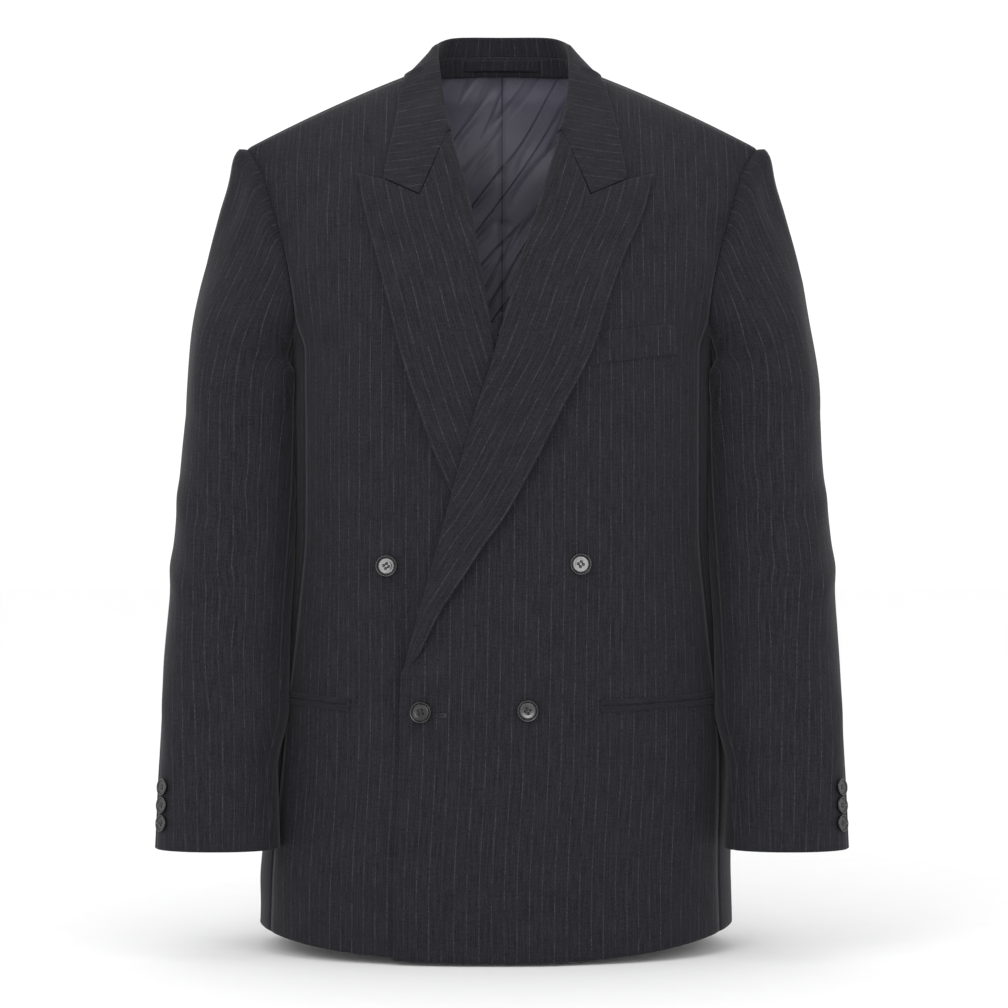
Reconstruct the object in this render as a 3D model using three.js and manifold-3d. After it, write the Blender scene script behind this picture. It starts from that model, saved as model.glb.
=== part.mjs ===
// Double breasted blazer, worn hollow form. Millimetres, +Z up, front faces -Y.
// Origin: centre of the neck base, where the wearer's neck comes through.
import * as THREE from 'three';
import { mergeVertices } from 'three/addons/utils/BufferGeometryUtils.js';
import Module from 'manifold-3d';

const wasm = await Module();
wasm.setup();
const { Manifold, Mesh } = wasm;

// Driving dimensions
const WALL = 2.0;
const SEAM = 0.3;
const HEM_Z = -800;
const UNDER_HEM_Z = -797;
const BREAK_Z = -546;
const GORGE_Z = -66;
const NECK_X = 75;
const SHOULDER_X = 235;
const SHOULDER_Z = -72;
const UNDERARM_Z = -262;
const RING_POWER = 2.3;
const FRONT_EDGE = 64;
const FRONT_EASE = 315;
const RIDGE_FADE = 60;
const RIDGE_ROLL = 9;
const RIDGE_ROLL_DROP = 6;
const SIDE_FRONT = 68;
const SIDE_BACK = 115;
const LAPEL_WALL = 1.8;
const LAPEL_LIFT = 1.6;
const LINING_DEPTH = 2.6;
const LINING_WALL = 1.0;
const BUTTON_D = 19;
const CUFF_BUTTON_D = 15;
const CUFF_PITCH = 15.8;

// Short tables, one row a height, read by straight interpolation
const TORSO = [
  { z: -800, side: 216, front: 134, back: 128, sway: -6 },
  { z: -700, side: 213, front: 132, back: 117, sway: -5 },
  { z: -600, side: 208, front: 130, back: 108, sway: -4 },
  { z: -500, side: 197, front: 129, back: 103, sway: -3 },
  { z: -420, side: 190, front: 129, back: 100, sway: -2 },
  { z: -350, side: 190, front: 130, back: 105, sway: -1 },
  { z: -300, side: 190.5, front: 131, back: 109, sway: 0 },
  { z: -262, side: 191, front: 132, back: 112, sway: 0 },
  { z: -240, side: 198, front: 132, back: 113, sway: 0.5 },
  { z: -205, side: 211, front: 131, back: 115, sway: 1 },
  { z: -155, side: 224, front: 130, back: 117, sway: 2 },
  { z: -123, side: 232, front: 130, back: 113, sway: 2.5 },
  { z: -72, side: 240, front: 130, back: 102, sway: 3 },
  { z: 60, side: 240, front: 130, back: 100, sway: 3 },
];
const CLOSURE = [
  { z: -580, x: -24 },
  { z: -450, x: -17 },
  { z: -370, x: -13.7 },
  { z: -312, x: -10 },
  { z: -265, x: -5.5 },
  { z: -219, x: -3.5 },
  { z: -180, x: -1.4 },
  { z: -140, x: 2 },
  { z: -105, x: 3 },
  { z: -70, x: 3 },
  { z: 40, x: 1 },
];
const LAPEL_EDGE = [
  { z: -541, x: -53 },
  { z: -514, x: -42 },
  { z: -494, x: -33 },
  { z: -463, x: -14.8 },
  { z: -436, x: 1 },
  { z: -410, x: 18.2 },
  { z: -370, x: 38.2 },
  { z: -341, x: 50.8 },
  { z: -312, x: 62.7 },
  { z: -265, x: 81.3 },
  { z: -219, x: 95.5 },
  { z: -180, x: 108.5 },
  { z: -141, x: 122.9 },
  { z: -104, x: 131.5 },
];
const ROLL = [
  { z: -546, x: -63 },
  { z: -264, x: 0 },
  { z: -129, x: 31 },
  { z: -66, x: 48 },
  { z: -30, x: 55 },
  { z: 5, x: 60 },
];
const STACK = [
  { z: -610, lift: 3.2 },
  { z: -548, lift: 6.6 },
  { z: -262, lift: 6.6 },
  { z: -200, lift: 3 },
  { z: -150, lift: 0 },
];
const ARMHOLE_FRONT = [
  { z: -235, x: 187.1 },
  { z: -205, x: 190.6 },
  { z: -155, x: 202 },
  { z: -123, x: 212 },
  { z: -97, x: 220 },
  { z: -72, x: 235 },
];
const ARMHOLE_BACK = [
  { z: -227, x: 186.2 },
  { z: -200, x: 193 },
  { z: -160, x: 205 },
  { z: -120, x: 216 },
  { z: -90, x: 228 },
  { z: -72, x: 235 },
];
const NECK_FRONT = [
  { z: -66, x: 48 },
  { z: -58, x: 54 },
  { z: -48, x: 60 },
  { z: -34, x: 66 },
  { z: -20, x: 70 },
  { z: -8, x: 73 },
  { z: 1.2, x: 75 },
];
const BACK_NECK = [
  { x: 0, y: 86, z: 9 },
  { x: 20, y: 84.5, z: 8.5 },
  { x: 40, y: 78, z: 7 },
  { x: 56, y: 66, z: 5 },
  { x: 66, y: 52, z: 3.5 },
  { x: 72, y: 37, z: 2.2 },
  { x: 75, y: 23, z: 1.2 },
];

// Small helpers
const clamp = (v, low, high) => Math.min(high, Math.max(low, v));
const mix = (a, b, t) => a + (b - a) * t;
const rad = (degrees) => degrees * Math.PI / 180;
const smooth = (t) => t * t * (3 - 2 * t);

function read(table, key, at, column) {
  // Value of a column at a place along the key, flat beyond both ends.
  const rows = table;
  if (at <= rows[0][key]) return rows[0][column];
  for (let i = 1; i < rows.length; i += 1) {
    if (at <= rows[i][key]) {
      const t = (at - rows[i - 1][key]) / (rows[i][key] - rows[i - 1][key]);
      return mix(rows[i - 1][column], rows[i][column], t);
    }
  }
  return rows[rows.length - 1][column];
}

const torso = (z, column) => read(TORSO, 'z', z, column);
const closure = (z) => read(CLOSURE, 'z', z, 'x');
const rollWidth = (z) => read(ROLL, 'z', z, 'x');

function shoulderZ(x) {
  const slope = SHOULDER_Z / (SHOULDER_X - NECK_X);
  const t = clamp((x - NECK_X) / (SHOULDER_X - NECK_X), -0.2, 1.05);
  return 1.2 + (slope - 0.0075) * (x - NECK_X) + 3 * 4 * t * (1 - t);
}

const ridgeY = (x) => mix(20, 5, clamp((x - NECK_X) / (SHOULDER_X - NECK_X), 0, 1));

function topLine(x, back) {
  // Height and depth of a panel's top edge at a distance from the middle.
  if (back && x < NECK_X) {
    return { z: read(BACK_NECK, 'x', x, 'z'), y: read(BACK_NECK, 'x', x, 'y') };
  }
  return { z: shoulderZ(x), y: ridgeY(x) + 3 };
}

function ring(phi, z) {
  // One horizontal section: phi 0 is the centre front, 90 the side, 180 the back.
  const power = 2 / RING_POWER;
  const s = Math.sin(rad(phi));
  const c = Math.cos(rad(phi));
  const depth = c > 0 ? torso(z, 'front') : torso(z, 'back');
  return {
    x: torso(z, 'side') * Math.pow(Math.abs(s), power),
    y: -Math.sign(c) * depth * Math.pow(Math.abs(c), power),
    face: Math.pow(Math.abs(c), power),
  };
}

function sectionY(x, z, back) {
  // Depth of the ring at a distance from the middle, and how far it faces out.
  const t = clamp(x / torso(z, 'side'), 0, 1);
  const face = Math.pow(1 - Math.pow(t, RING_POWER), 1 / RING_POWER);
  return { y: (back ? torso(z, 'back') : -torso(z, 'front')) * face, face };
}

function drape(x, z, y, face, back, top) {
  // The cloth leaves the shoulder edge, rolls over it and reaches the ring lower down.
  const drop = Math.max(0, top.z - z);
  const reach = back ? 65 + 0.6 * x : FRONT_EASE;
  const base = 1 - Math.pow(1 - Math.min(drop / reach, 1), 2.15);
  const side = back ? 1 : -1;
  const slow = back ? mix(5, 1, Math.min(1, x / NECK_X)) : 1;
  const roll = side * RIDGE_ROLL * face * (1 - Math.exp(-drop / (RIDGE_ROLL_DROP * slow)));
  if (back) return mix(top.y, y, base) + roll + torso(z, 'sway') * base;
  return (top.y - 3) * Math.exp(-drop / RIDGE_FADE) + y * base + roll + torso(z, 'sway');
}

function bodyPoint(x, z, back) {
  // A point of the front or the back, x signed, on the outer face.
  const ax = Math.abs(x);
  const top = topLine(ax, back);
  const { y, face } = sectionY(ax, z, back);
  return new THREE.Vector3(x, drape(ax, z, y, face, back, top), z);
}

function sidePoint(phi, z, hand) {
  const { x, y, face } = ring(phi, z);
  const back = phi > 90;
  const top = topLine(x, back);
  return new THREE.Vector3(hand * x, drape(x, z, y, face, back, top), z);
}

// Walls: grids of points, made into one closed body
function slab(outer, inner) {
  // Closed body between two grids of the same size (rows of points).
  const rows = outer.length;
  const cols = outer[0].length;
  const positions = [];
  for (const grid of [outer, inner]) {
    for (const row of grid) {
      for (const p of row) positions.push(p.x, p.y, p.z);
    }
  }
  const index = [];
  const at = (layer, r, c) => layer * rows * cols + r * cols + c;
  const flat = [...outer.flat(), ...inner.flat()];
  const quad = (a, b, c, d) => {
    // The shorter diagonal, so that stacked and mirrored walls bend alike.
    if (flat[a].distanceTo(flat[c]) <= flat[b].distanceTo(flat[d]) + 1e-6) {
      index.push(a, b, c, a, c, d);
    } else {
      index.push(a, b, d, b, c, d);
    }
  };
  for (let r = 0; r < rows - 1; r += 1) {
    for (let c = 0; c < cols - 1; c += 1) {
      quad(at(0, r, c), at(0, r, c + 1), at(0, r + 1, c + 1), at(0, r + 1, c));
      quad(at(1, r, c), at(1, r + 1, c), at(1, r + 1, c + 1), at(1, r, c + 1));
    }
  }
  for (let c = 0; c < cols - 1; c += 1) {
    quad(at(0, 0, c), at(1, 0, c), at(1, 0, c + 1), at(0, 0, c + 1));
    const r = rows - 1;
    quad(at(0, r, c + 1), at(1, r, c + 1), at(1, r, c), at(0, r, c));
  }
  for (let r = 0; r < rows - 1; r += 1) {
    quad(at(0, r + 1, 0), at(1, r + 1, 0), at(1, r, 0), at(0, r, 0));
    const c = cols - 1;
    quad(at(0, r, c), at(1, r, c), at(1, r + 1, c), at(0, r + 1, c));
  }
  return closed(positions, index);
}

function closed(positions, index) {
  // Geometry from points and triangles, turned so that it faces out.
  const geometry = new THREE.BufferGeometry();
  geometry.setAttribute('position', new THREE.Float32BufferAttribute(positions, 3));
  let volume = 0;
  const p = (i) => new THREE.Vector3().fromArray(positions, 3 * i);
  for (let i = 0; i < index.length; i += 3) {
    volume += p(index[i]).dot(p(index[i + 1]).cross(p(index[i + 2])));
  }
  if (volume < 0) {
    for (let i = 0; i < index.length; i += 3) {
      [index[i + 1], index[i + 2]] = [index[i + 2], index[i + 1]];
    }
  }
  geometry.setIndex(index);
  geometry.computeVertexNormals();
  return geometry;
}

const spread = (count) => Array.from({ length: count + 1 }, (_, i) => i / count);

const group = new THREE.Group();
group.name = 'double_breasted_blazer';

function add(name, geometry, look) {
  const material = new THREE.MeshStandardMaterial(look);
  const mesh = new THREE.Mesh(geometry, material);
  mesh.name = name;
  group.add(mesh);
  return mesh;
}

const CLOTH = { color: 0x303034, roughness: 0.86, metalness: 0 };
const LINING = { color: 0x3f3d47, roughness: 0.45, metalness: 0 };
const HORN = { color: 0x16171b, roughness: 0.22, metalness: 0 };

// Points on the body at a height above its outer face
function normalOf(place, a, b, stepA, stepB) {
  const across = place(a + stepA, b).sub(place(a - stepA, b));
  const down = place(a, b).sub(place(a, b - stepB));
  return across.cross(down).normalize();
}

function ridgeBlend(n, x, z, back) {
  // Near the shoulder seam both panels share the normal of the seam itself.
  const ax = Math.abs(x);
  const drop = topLine(ax, back).z - z;
  const near = ax > NECK_X - 1 ? Math.pow(clamp(1 - drop / 12, 0, 1), 2) : 0;
  const ridge = new THREE.Vector3(0.43 * Math.sign(x), 0, 1).normalize();
  return n.lerp(ridge, near).normalize();
}

function onFront(x, z, height) {
  const place = (a, b) => bodyPoint(a, b, false);
  const n = normalOf(place, x, z, 0.4, 0.4);
  if (n.y > 0) n.negate();
  ridgeBlend(n, x, z, false);
  return bodyPoint(x, z, false).addScaledVector(n, height);
}

function onBack(x, z, height) {
  const place = (a, b) => bodyPoint(a, b, true);
  const n = normalOf(place, x, z, 0.4, 0.4);
  if (n.y < 0) n.negate();
  ridgeBlend(n, x, z, true);
  return bodyPoint(x, z, true).addScaledVector(n, height);
}

function onSide(phi, z, hand, height) {
  const n = normalOf((a, b) => sidePoint(a, b, hand), phi, z, 0.2, 0.4);
  if (n.x * hand < 0) n.negate();
  return sidePoint(phi, z, hand).addScaledVector(n, height);
}

function stack(x, z, hand) {
  // How far the upper front stands off, to clear the front and lapel below it.
  if (hand < 0) return 0;
  const beyond = x - closure(z);
  return read(STACK, 'z', z, 'lift') * (1 - smooth(clamp((beyond - 65) / 55, 0, 1)));
}

// Front panels
const seamX = (phi, z) => ring(phi, z).x;
const neckShift = (z) => closure(z) * clamp((5 - z) / 45, 0, 1);
const FOLD_R = 2.7;
const FOLD_ROOM = 4.4;
const GORGE_ROOM = 1.8;
const NECK_ROOM = 3.2;
const STAND_ROOM = 3.3;

function frontEdge(z, hand) {
  // Inner edge of a front: front edge, then roll line, then neck seam.
  if (z <= BREAK_Z) return closure(z) - hand * FRONT_EDGE;
  const corner = GORGE_ROOM * smooth(clamp((z + 92) / 26, 0, 1));
  if (z <= GORGE_Z) return closure(z) + hand * (rollWidth(z) + FOLD_ROOM + corner);
  const room = mix(FOLD_ROOM + corner, NECK_ROOM, clamp((z - GORGE_Z) / 26, 0, 1));
  return hand * (read(NECK_FRONT, 'z', z, 'x') + room) + neckShift(z);
}

// The skirt swings to the wearer's right, and its hem rises towards the sides.
const HEM_SWING = 6;
const HEM_RISE = 20;
const HEM_POWER = 2.6;
const HEM_HALF = 216;

function hung(p) {
  const swing = smooth(clamp((-600 - p.z) / 150, 0, 1));
  const low = smooth(clamp((-700 - p.z) / 100, 0, 1));
  p.z += HEM_RISE * low * Math.pow(Math.abs(p.x) / HEM_HALF, HEM_POWER);
  p.x -= HEM_SWING * swing;
  return p;
}

const FRONT_ROWS = [
  [-800, -800], [-765, -765], [-725, -725], [-685, -685], [-640, -640], [-595, -595],
  [-546, -546], [-541, -541], [-500, -498], [-455, -452], [-410, -405], [-362, -355],
  [-314, -310], [-264, -268], [-222, -235], [-180, -205], [-129, -175], [-96, -148],
  [-66, -123], [-58, -115], [-50, -108], [-35, -97], [-22, -88], [-12, -81], [-5, -76.5], [1.2, -72],
];
const FRONT_COLS = [0, 0.04, 0.12, 0.22, 0.33, 0.45, 0.57, 0.68, 0.78, 0.86, 0.93, 1];

function frontGrid(hand, height) {
  const top = FRONT_ROWS.length - 1;
  return FRONT_ROWS.map(([zi, zo], r) => FRONT_COLS.map((u) => {
    const hem = hand > 0 ? HEM_Z : UNDER_HEM_Z;
    const zin = Math.max(zi, hem);
    const zout = Math.max(zo, hem);
    const xo = zo < -235 ? seamX(SIDE_FRONT, zo) : read(ARMHOLE_FRONT, 'z', zo, 'x');
    const x = mix(frontEdge(zin, hand), hand * (xo - SEAM), u);
    const line = mix(zi, zo, u);
    const rise = smooth(clamp((r - (top - 8)) / 8, 0, 1));
    const straight = mix(FRONT_ROWS[top][0], FRONT_ROWS[top][1], u);
    const arch = (shoulderZ(mix(NECK_X, SHOULDER_X, u)) - straight) * rise;
    const z = Math.max(line, Math.min(zin, zout)) + arch;
    const p = onFront(x, z, height + stack(x, z, hand));
    p.y -= SEAM;
    return hung(p);
  }));
}

for (const [name, hand] of [['front_left', 1], ['front_right', -1]]) {
  add(name, slab(frontGrid(hand, 0), frontGrid(hand, -WALL)), CLOTH);
}

// Side panels
const SIDE_ROWS = [0, 0.08, 0.17, 0.26, 0.36, 0.46, 0.56, 0.66, 0.76, 0.85, 0.93, 1];

function sideGrid(hand, height) {
  return SIDE_ROWS.map((v) => spread(7).map((u) => {
    const phi = mix(SIDE_FRONT + 0.12, SIDE_BACK - 0.12, u);
    const top = UNDERARM_Z + 27 * Math.pow((phi - 90) / 22, 2);
    return hung(onSide(phi, mix(HEM_Z, top, v), hand, height));
  }));
}

for (const [name, hand] of [['side_left', 1], ['side_right', -1]]) {
  add(name, slab(sideGrid(hand, 0), sideGrid(hand, -WALL)), CLOTH);
}

// Back panels
const BACK_ROWS = [
  [-800, -800], [-750, -750], [-690, -690], [-630, -630], [-570, -570], [-510, -510],
  [-450, -450], [-390, -390], [-330, -330], [-270, -275], [-215, -227], [-165, -195],
  [-120, -160], [-82, -130], [-52, -108], [-30, -92], [-14, -82], [-3, -76], [9, -72],
];
const BACK_COLS = [0, 0.1, 0.2, 0.28, 0.32, 0.36, 0.45, 0.56, 0.68, 0.79, 0.9, 1];

function backPlace([zi, zo], r, u) {
  // Distance from the middle and height of one point of the back's grid.
  const top = BACK_ROWS.length - 1;
  const xo = zo < -227 ? seamX(SIDE_BACK, zo) : read(ARMHOLE_BACK, 'z', zo, 'x');
  const x = mix(SEAM / 2, xo - SEAM, u);
  const rise = smooth(clamp((r - (top - 7)) / 7, 0, 1));
  const straight = mix(BACK_ROWS[top][0], BACK_ROWS[top][1], u);
  const room = r === top ? 0.8 * clamp((NECK_X + 5 - x) / 5, 0, 1) : 0;
  return { x, z: mix(zi, zo, u) + (topLine(x, true).z - straight) * rise - room };
}

function backGrid(hand, height) {
  return BACK_ROWS.map((row, r) => BACK_COLS.map((u) => {
    const at = backPlace(row, r, u);
    const p = onBack(hand * at.x, at.z, height);
    p.y += SEAM;
    return hung(p);
  }));
}

for (const [name, hand] of [['back_left', 1], ['back_right', -1]]) {
  add(name, slab(backGrid(hand, 0), backGrid(hand, -WALL)), CLOTH);
}

// Lining: only behind the neck opening, where it shows
const LINING_COLS = BACK_COLS.filter((u) => u <= 0.9);
const LINING_CUT = -450;

function liningGrid(height) {
  const all = BACK_ROWS.length;
  const half = [...LINING_COLS.slice(1).reverse().map((u) => -u), ...LINING_COLS];
  return BACK_ROWS.filter(([zi]) => zi >= LINING_CUT).map((row, k, cut) => half.map((w) => {
    const p = backPlace(row, all - cut.length + k, Math.abs(w));
    const under = 1.5 + 5 * smooth(clamp((p.x - 40) / 40, 0, 1));
    const z = Math.min(p.z, topLine(p.x, true).z - under);
    const point = onBack(w === 0 ? 0.001 : Math.sign(w) * p.x, z, height);
    point.y += SEAM;
    return point;
  }));
}
add('back_lining', slab(liningGrid(-LINING_DEPTH), liningGrid(-LINING_DEPTH - LINING_WALL)),
  LINING);

// Sleeves: columns run from the armhole to rings down the arm
const SLEEVE = [
  { z: -709, x: 253.3, wide: 55.9, deep: 40, y: -88 },
  { z: -645, x: 253.8, wide: 53.4, deep: 45, y: -76 },
  { z: -577, x: 254, wide: 51.3, deep: 50, y: -63 },
  { z: -378, x: 244.6, wide: 50, deep: 62, y: -20 },
  { z: -318, x: 242, wide: 48, deep: 66, y: -10 },
];
const CUFF_Z = -705.5;
const CAP_Z = -318;
const CAP_SHARE = 0.4;
const SLEEVE_GAP = 0.5;
const FRONT_SEAM = 150;

function armholeLoop(hand) {
  // Points round the armhole: shoulder, front, underarm, back, shoulder.
  const points = [];
  for (const t of spread(30)) {
    const z = mix(SHOULDER_Z, -235, t);
    points.push(onFront(hand * read(ARMHOLE_FRONT, 'z', z, 'x'), z, 0));
  }
  for (const t of spread(16).slice(1)) {
    const phi = mix(SIDE_FRONT, SIDE_BACK, t);
    points.push(onSide(phi, UNDERARM_Z + 27 * Math.pow((phi - 90) / 22, 2), hand, 0));
  }
  for (const t of spread(30).slice(1)) {
    const z = mix(-227, SHOULDER_Z, t);
    points.push(onBack(hand * read(ARMHOLE_BACK, 'z', z, 'x'), z, 0));
  }
  return points;
}

function alongLoop(points) {
  // Reads the loop at a share of its length, with the underarm at one half.
  const lengths = [0];
  for (let i = 1; i < points.length; i += 1) {
    lengths.push(lengths[i - 1] + points[i].distanceTo(points[i - 1]));
  }
  const total = lengths[lengths.length - 1];
  return (share) => {
    const at = ((share % 1) + 1) % 1 * total;
    let i = 1;
    while (i < lengths.length - 1 && lengths[i] < at) i += 1;
    const t = (at - lengths[i - 1]) / (lengths[i] - lengths[i - 1]);
    return points[i - 1].clone().lerp(points[i], t);
  };
}

function sleeveRing(psi, z, hand) {
  const power = 2 / 2.1;
  const c = Math.cos(rad(psi));
  const s = Math.sin(rad(psi));
  const x = read(SLEEVE, 'z', z, 'x') + Math.sign(c) * Math.pow(Math.abs(c), power)
    * read(SLEEVE, 'z', z, 'wide');
  const y = read(SLEEVE, 'z', z, 'y') - Math.sign(s) * Math.pow(Math.abs(s), power)
    * read(SLEEVE, 'z', z, 'deep');
  return new THREE.Vector3(hand * x, y, z);
}

function sleevePoint(loop, hand, psi, v) {
  if (v >= CAP_SHARE) {
    return sleeveRing(psi, mix(CAP_Z, CUFF_Z, (v - CAP_SHARE) / (1 - CAP_SHARE)), hand);
  }
  const t = v / CAP_SHARE;
  const start = loop(psi / 360);
  start.x += hand * SLEEVE_GAP;
  const end = sleeveRing(psi, CAP_Z, hand);
  const w = 1 - Math.pow(1 - t, 2);
  return new THREE.Vector3(mix(start.x, end.x, w), mix(start.y, end.y, w),
    mix(start.z, end.z, t));
}

const SLEEVE_ROWS = [0, 0.016, 0.05, 0.1, 0.16, 0.24, 0.32, 0.4, 0.52, 0.64, 0.76, 0.88, 1];
const hindSeam = (v) => mix(-60, 15, smooth(clamp(v, 0, 1)));

function sleeveGrid(loop, hand, under, inset) {
  const gap = 0.25;
  return SLEEVE_ROWS.map((v) => spread(13).map((u) => {
    const from = under ? FRONT_SEAM + gap : hindSeam(v) + gap;
    const to = under ? 360 + hindSeam(v) - gap : FRONT_SEAM - gap;
    const psi = mix(from, to, u);
    const place = (a, b) => sleevePoint(loop, hand, a, clamp(b, 0, 1));
    const across = place(psi + 1, v).sub(place(psi - 1, v));
    const down = place(psi, v + 0.008).sub(place(psi, v - 0.008));
    const n = across.cross(down).normalize().multiplyScalar(hand);
    const wall = mix(0.5, 1, clamp(v / 0.05, 0, 1));
    return place(psi, v).addScaledVector(n, inset * wall);
  }));
}

const armholes = { 1: alongLoop(armholeLoop(1)), '-1': alongLoop(armholeLoop(-1)) };
for (const [side, hand] of [['left', 1], ['right', -1]]) {
  for (const [part, under] of [['top', false], ['under', true]]) {
    const outer = sleeveGrid(armholes[hand], hand, under, 0);
    const inner = sleeveGrid(armholes[hand], hand, under, -WALL);
    add(`sleeve_${part}_${side}`, slab(outer, inner), CLOTH);
  }
}

// Lapels: a rolled fold, then cloth lying on the front up to the peak
const FOLD_STEPS = 5;
const FOLD_MID = 0.7;
const NOTCH = { x: 75.2, z: -126.2 };
const COLLAR_TIP = { x: 107.4, z: -111.2 };
const PEAK = { x: 131.5, z: -104 };
const LAPEL_ROWS = [
  0, 0.05, 0.11, 0.18, 0.25, 0.32, 0.39, 0.46, 0.53, 0.6, 0.67, 0.74, 0.8, 0.86, 0.91,
  0.96, 1,
];
const LAPEL_ACROSS = [0.16, 0.32, 0.46, 0.62, 0.76, 0.88, 1];

function gorgePath(f) {
  // Top edge of the lapel from the fold: gorge seam, notch, collar corner, peak.
  const start = { x: 48 + FOLD_R, z: GORGE_Z };
  const knots = [[0, start], [0.46, NOTCH], [0.76, COLLAR_TIP], [1, PEAK]];
  let i = 1;
  while (i < knots.length - 1 && knots[i][0] < f) i += 1;
  const t = (f - knots[i - 1][0]) / (knots[i][0] - knots[i - 1][0]);
  return {
    x: mix(knots[i - 1][1].x, knots[i][1].x, t),
    z: mix(knots[i - 1][1].z, knots[i][1].z, t),
  };
}

function lapelPoint(hand, x, z, height) {
  const at = closure(z) + hand * x;
  const p = onFront(at, z, stack(at, z, hand) + height);
  p.y -= SEAM;
  return p;
}

function lapelGrid(hand, outer) {
  const radius = outer ? FOLD_R : FOLD_R - LAPEL_WALL;
  return LAPEL_ROWS.map((v) => {
    const z = mix(-541, GORGE_Z, v);
    const roll = rollWidth(z);
    const row = [];
    for (const k of spread(FOLD_STEPS - 1)) {
      const turn = rad(180 * k - 90);
      const x = roll + FOLD_R - radius * Math.cos(turn);
      row.push(lapelPoint(hand, x, z, FOLD_MID + radius * Math.sin(turn)));
    }
    const edgeZ = mix(-541, PEAK.z, v);
    const from = { x: roll + FOLD_R, z };
    const to = { x: read(LAPEL_EDGE, 'z', edgeZ, 'x'), z: edgeZ };
    const pull = Math.pow(clamp((v - 0.7) / 0.3, 0, 1), 1.6);
    for (const f of LAPEL_ACROSS) {
      const top = gorgePath(f);
      const x = mix(from.x, to.x, f) + pull * (top.x - mix(48 + FOLD_R, PEAK.x, f));
      const zz = mix(from.z, to.z, f) + pull * (top.z - mix(GORGE_Z, PEAK.z, f));
      const height = LAPEL_LIFT + 0.4 * f + (outer ? LAPEL_WALL : 0);
      row.push(lapelPoint(hand, x, zz, height));
    }
    return row;
  });
}

for (const [name, hand] of [['lapel_left', 1], ['lapel_right', -1]]) {
  add(name, slab(lapelGrid(hand, true), lapelGrid(hand, false)), CLOTH);
}

// Collar: one folded sheet, from the neck seam up, over the crease and down
const COLLAR = [
  { u: 0, nx: 0, cx: 0, cy: 84, cz: 41.8, fx: 0, fy: 114, fz: 0 },
  { u: 1, nx: 22, cx: 18, cy: 82.5, cz: 41.7, fx: 24, fy: 112.5, fz: -0.5 },
  { u: 2, nx: 40, cx: 35, cy: 78, cz: 41, fx: 45, fy: 107, fz: -2 },
  { u: 3, nx: 56, cx: 46, cy: 69, cz: 39, fx: 62, fy: 95, fz: -3.5 },
  { u: 4, nx: 66, cx: 53.5, cy: 56, cz: 35.2, fx: 76, fy: 78, fz: -5 },
  { u: 5, nx: 72, cx: 58.2, cy: 40, cz: 30.4, fx: 84.5, fy: 51, fz: -4 },
  { u: 6, nx: 75, nz: 1.2, cx: 60, cy: 26, cz: 25.6, fx: 88.5, fy: 20, fz: -2.5 },
  { u: 7, nx: 73, nz: -8, cx: 60.5, cy: 12, cz: 15, fx: 92.5, fy: 0, fz: -10 },
  { u: 8, nx: 70, nz: -20, cx: 60, cy: -2, cz: 3, fx: 95.5, fy: -12, fz: -24 },
  { u: 9, nx: 66, nz: -34, cx: 58.5, cy: -17, cz: -14, fx: 98.5, fy: -26, fz: -42 },
  { u: 10, nx: 60, nz: -48, cx: 56, cy: -33, cz: -32, fx: 101, fy: -42, fz: -60 },
  { u: 11, nx: 54.5, nz: -58, cx: 51.7, cy: -50, cz: -51, fx: 104.5, fy: -58, fz: -82 },
  { u: 12, nx: 48, nz: -63.6, cx: 48, cy: -64, cz: -66, fx: 108.2, fy: -80, fz: -108 },
];
const COLLAR_END = 12;
const SHOULDER_STATION = 6;
const BAND_SHARE = 0.5;
const FALL_STEPS = [0.2, 0.42, 0.64, 0.82, 1];
const NOTCH_STEP = 0.64;

const collar = (u, column) => read(COLLAR, 'u', u, column);

function neckPoint(u, hand, height) {
  // Neck seam on the panels, at a station of the collar.
  if (u <= SHOULDER_STATION) {
    const x = Math.max(collar(u, 'nx'), 0.01);
    const p = onBack(hand * x, topLine(x, true).z, height);
    p.y += SEAM;
    return p;
  }
  const z = collar(u, 'nz');
  const room = mix(STAND_ROOM, 0.3, clamp((z - GORGE_Z) / 12, 0, 1));
  const x = read(NECK_FRONT, 'z', z, 'x') + room;
  const p = onFront(hand * x + neckShift(z), z, height);
  p.y -= SEAM;
  return p;
}

function clearOfBody(p, gap, hand) {
  // Pushes a point out until it stands a gap off the body's outer face.
  const ax = Math.abs(p.x);
  const back = p.y > ridgeY(ax) + 3;
  const z = Math.min(p.z, topLine(ax, back).z - 0.01);
  const on = back ? onBack : onFront;
  const base = on(p.x, z, 0);
  const n = on(p.x, z, 1).sub(base);
  const lift = back ? 0 : stack(p.x, z, hand);
  const distance = p.clone().sub(base).dot(n) - lift;
  if (distance < gap) p.addScaledVector(n, gap - distance);
  return p;
}

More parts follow.
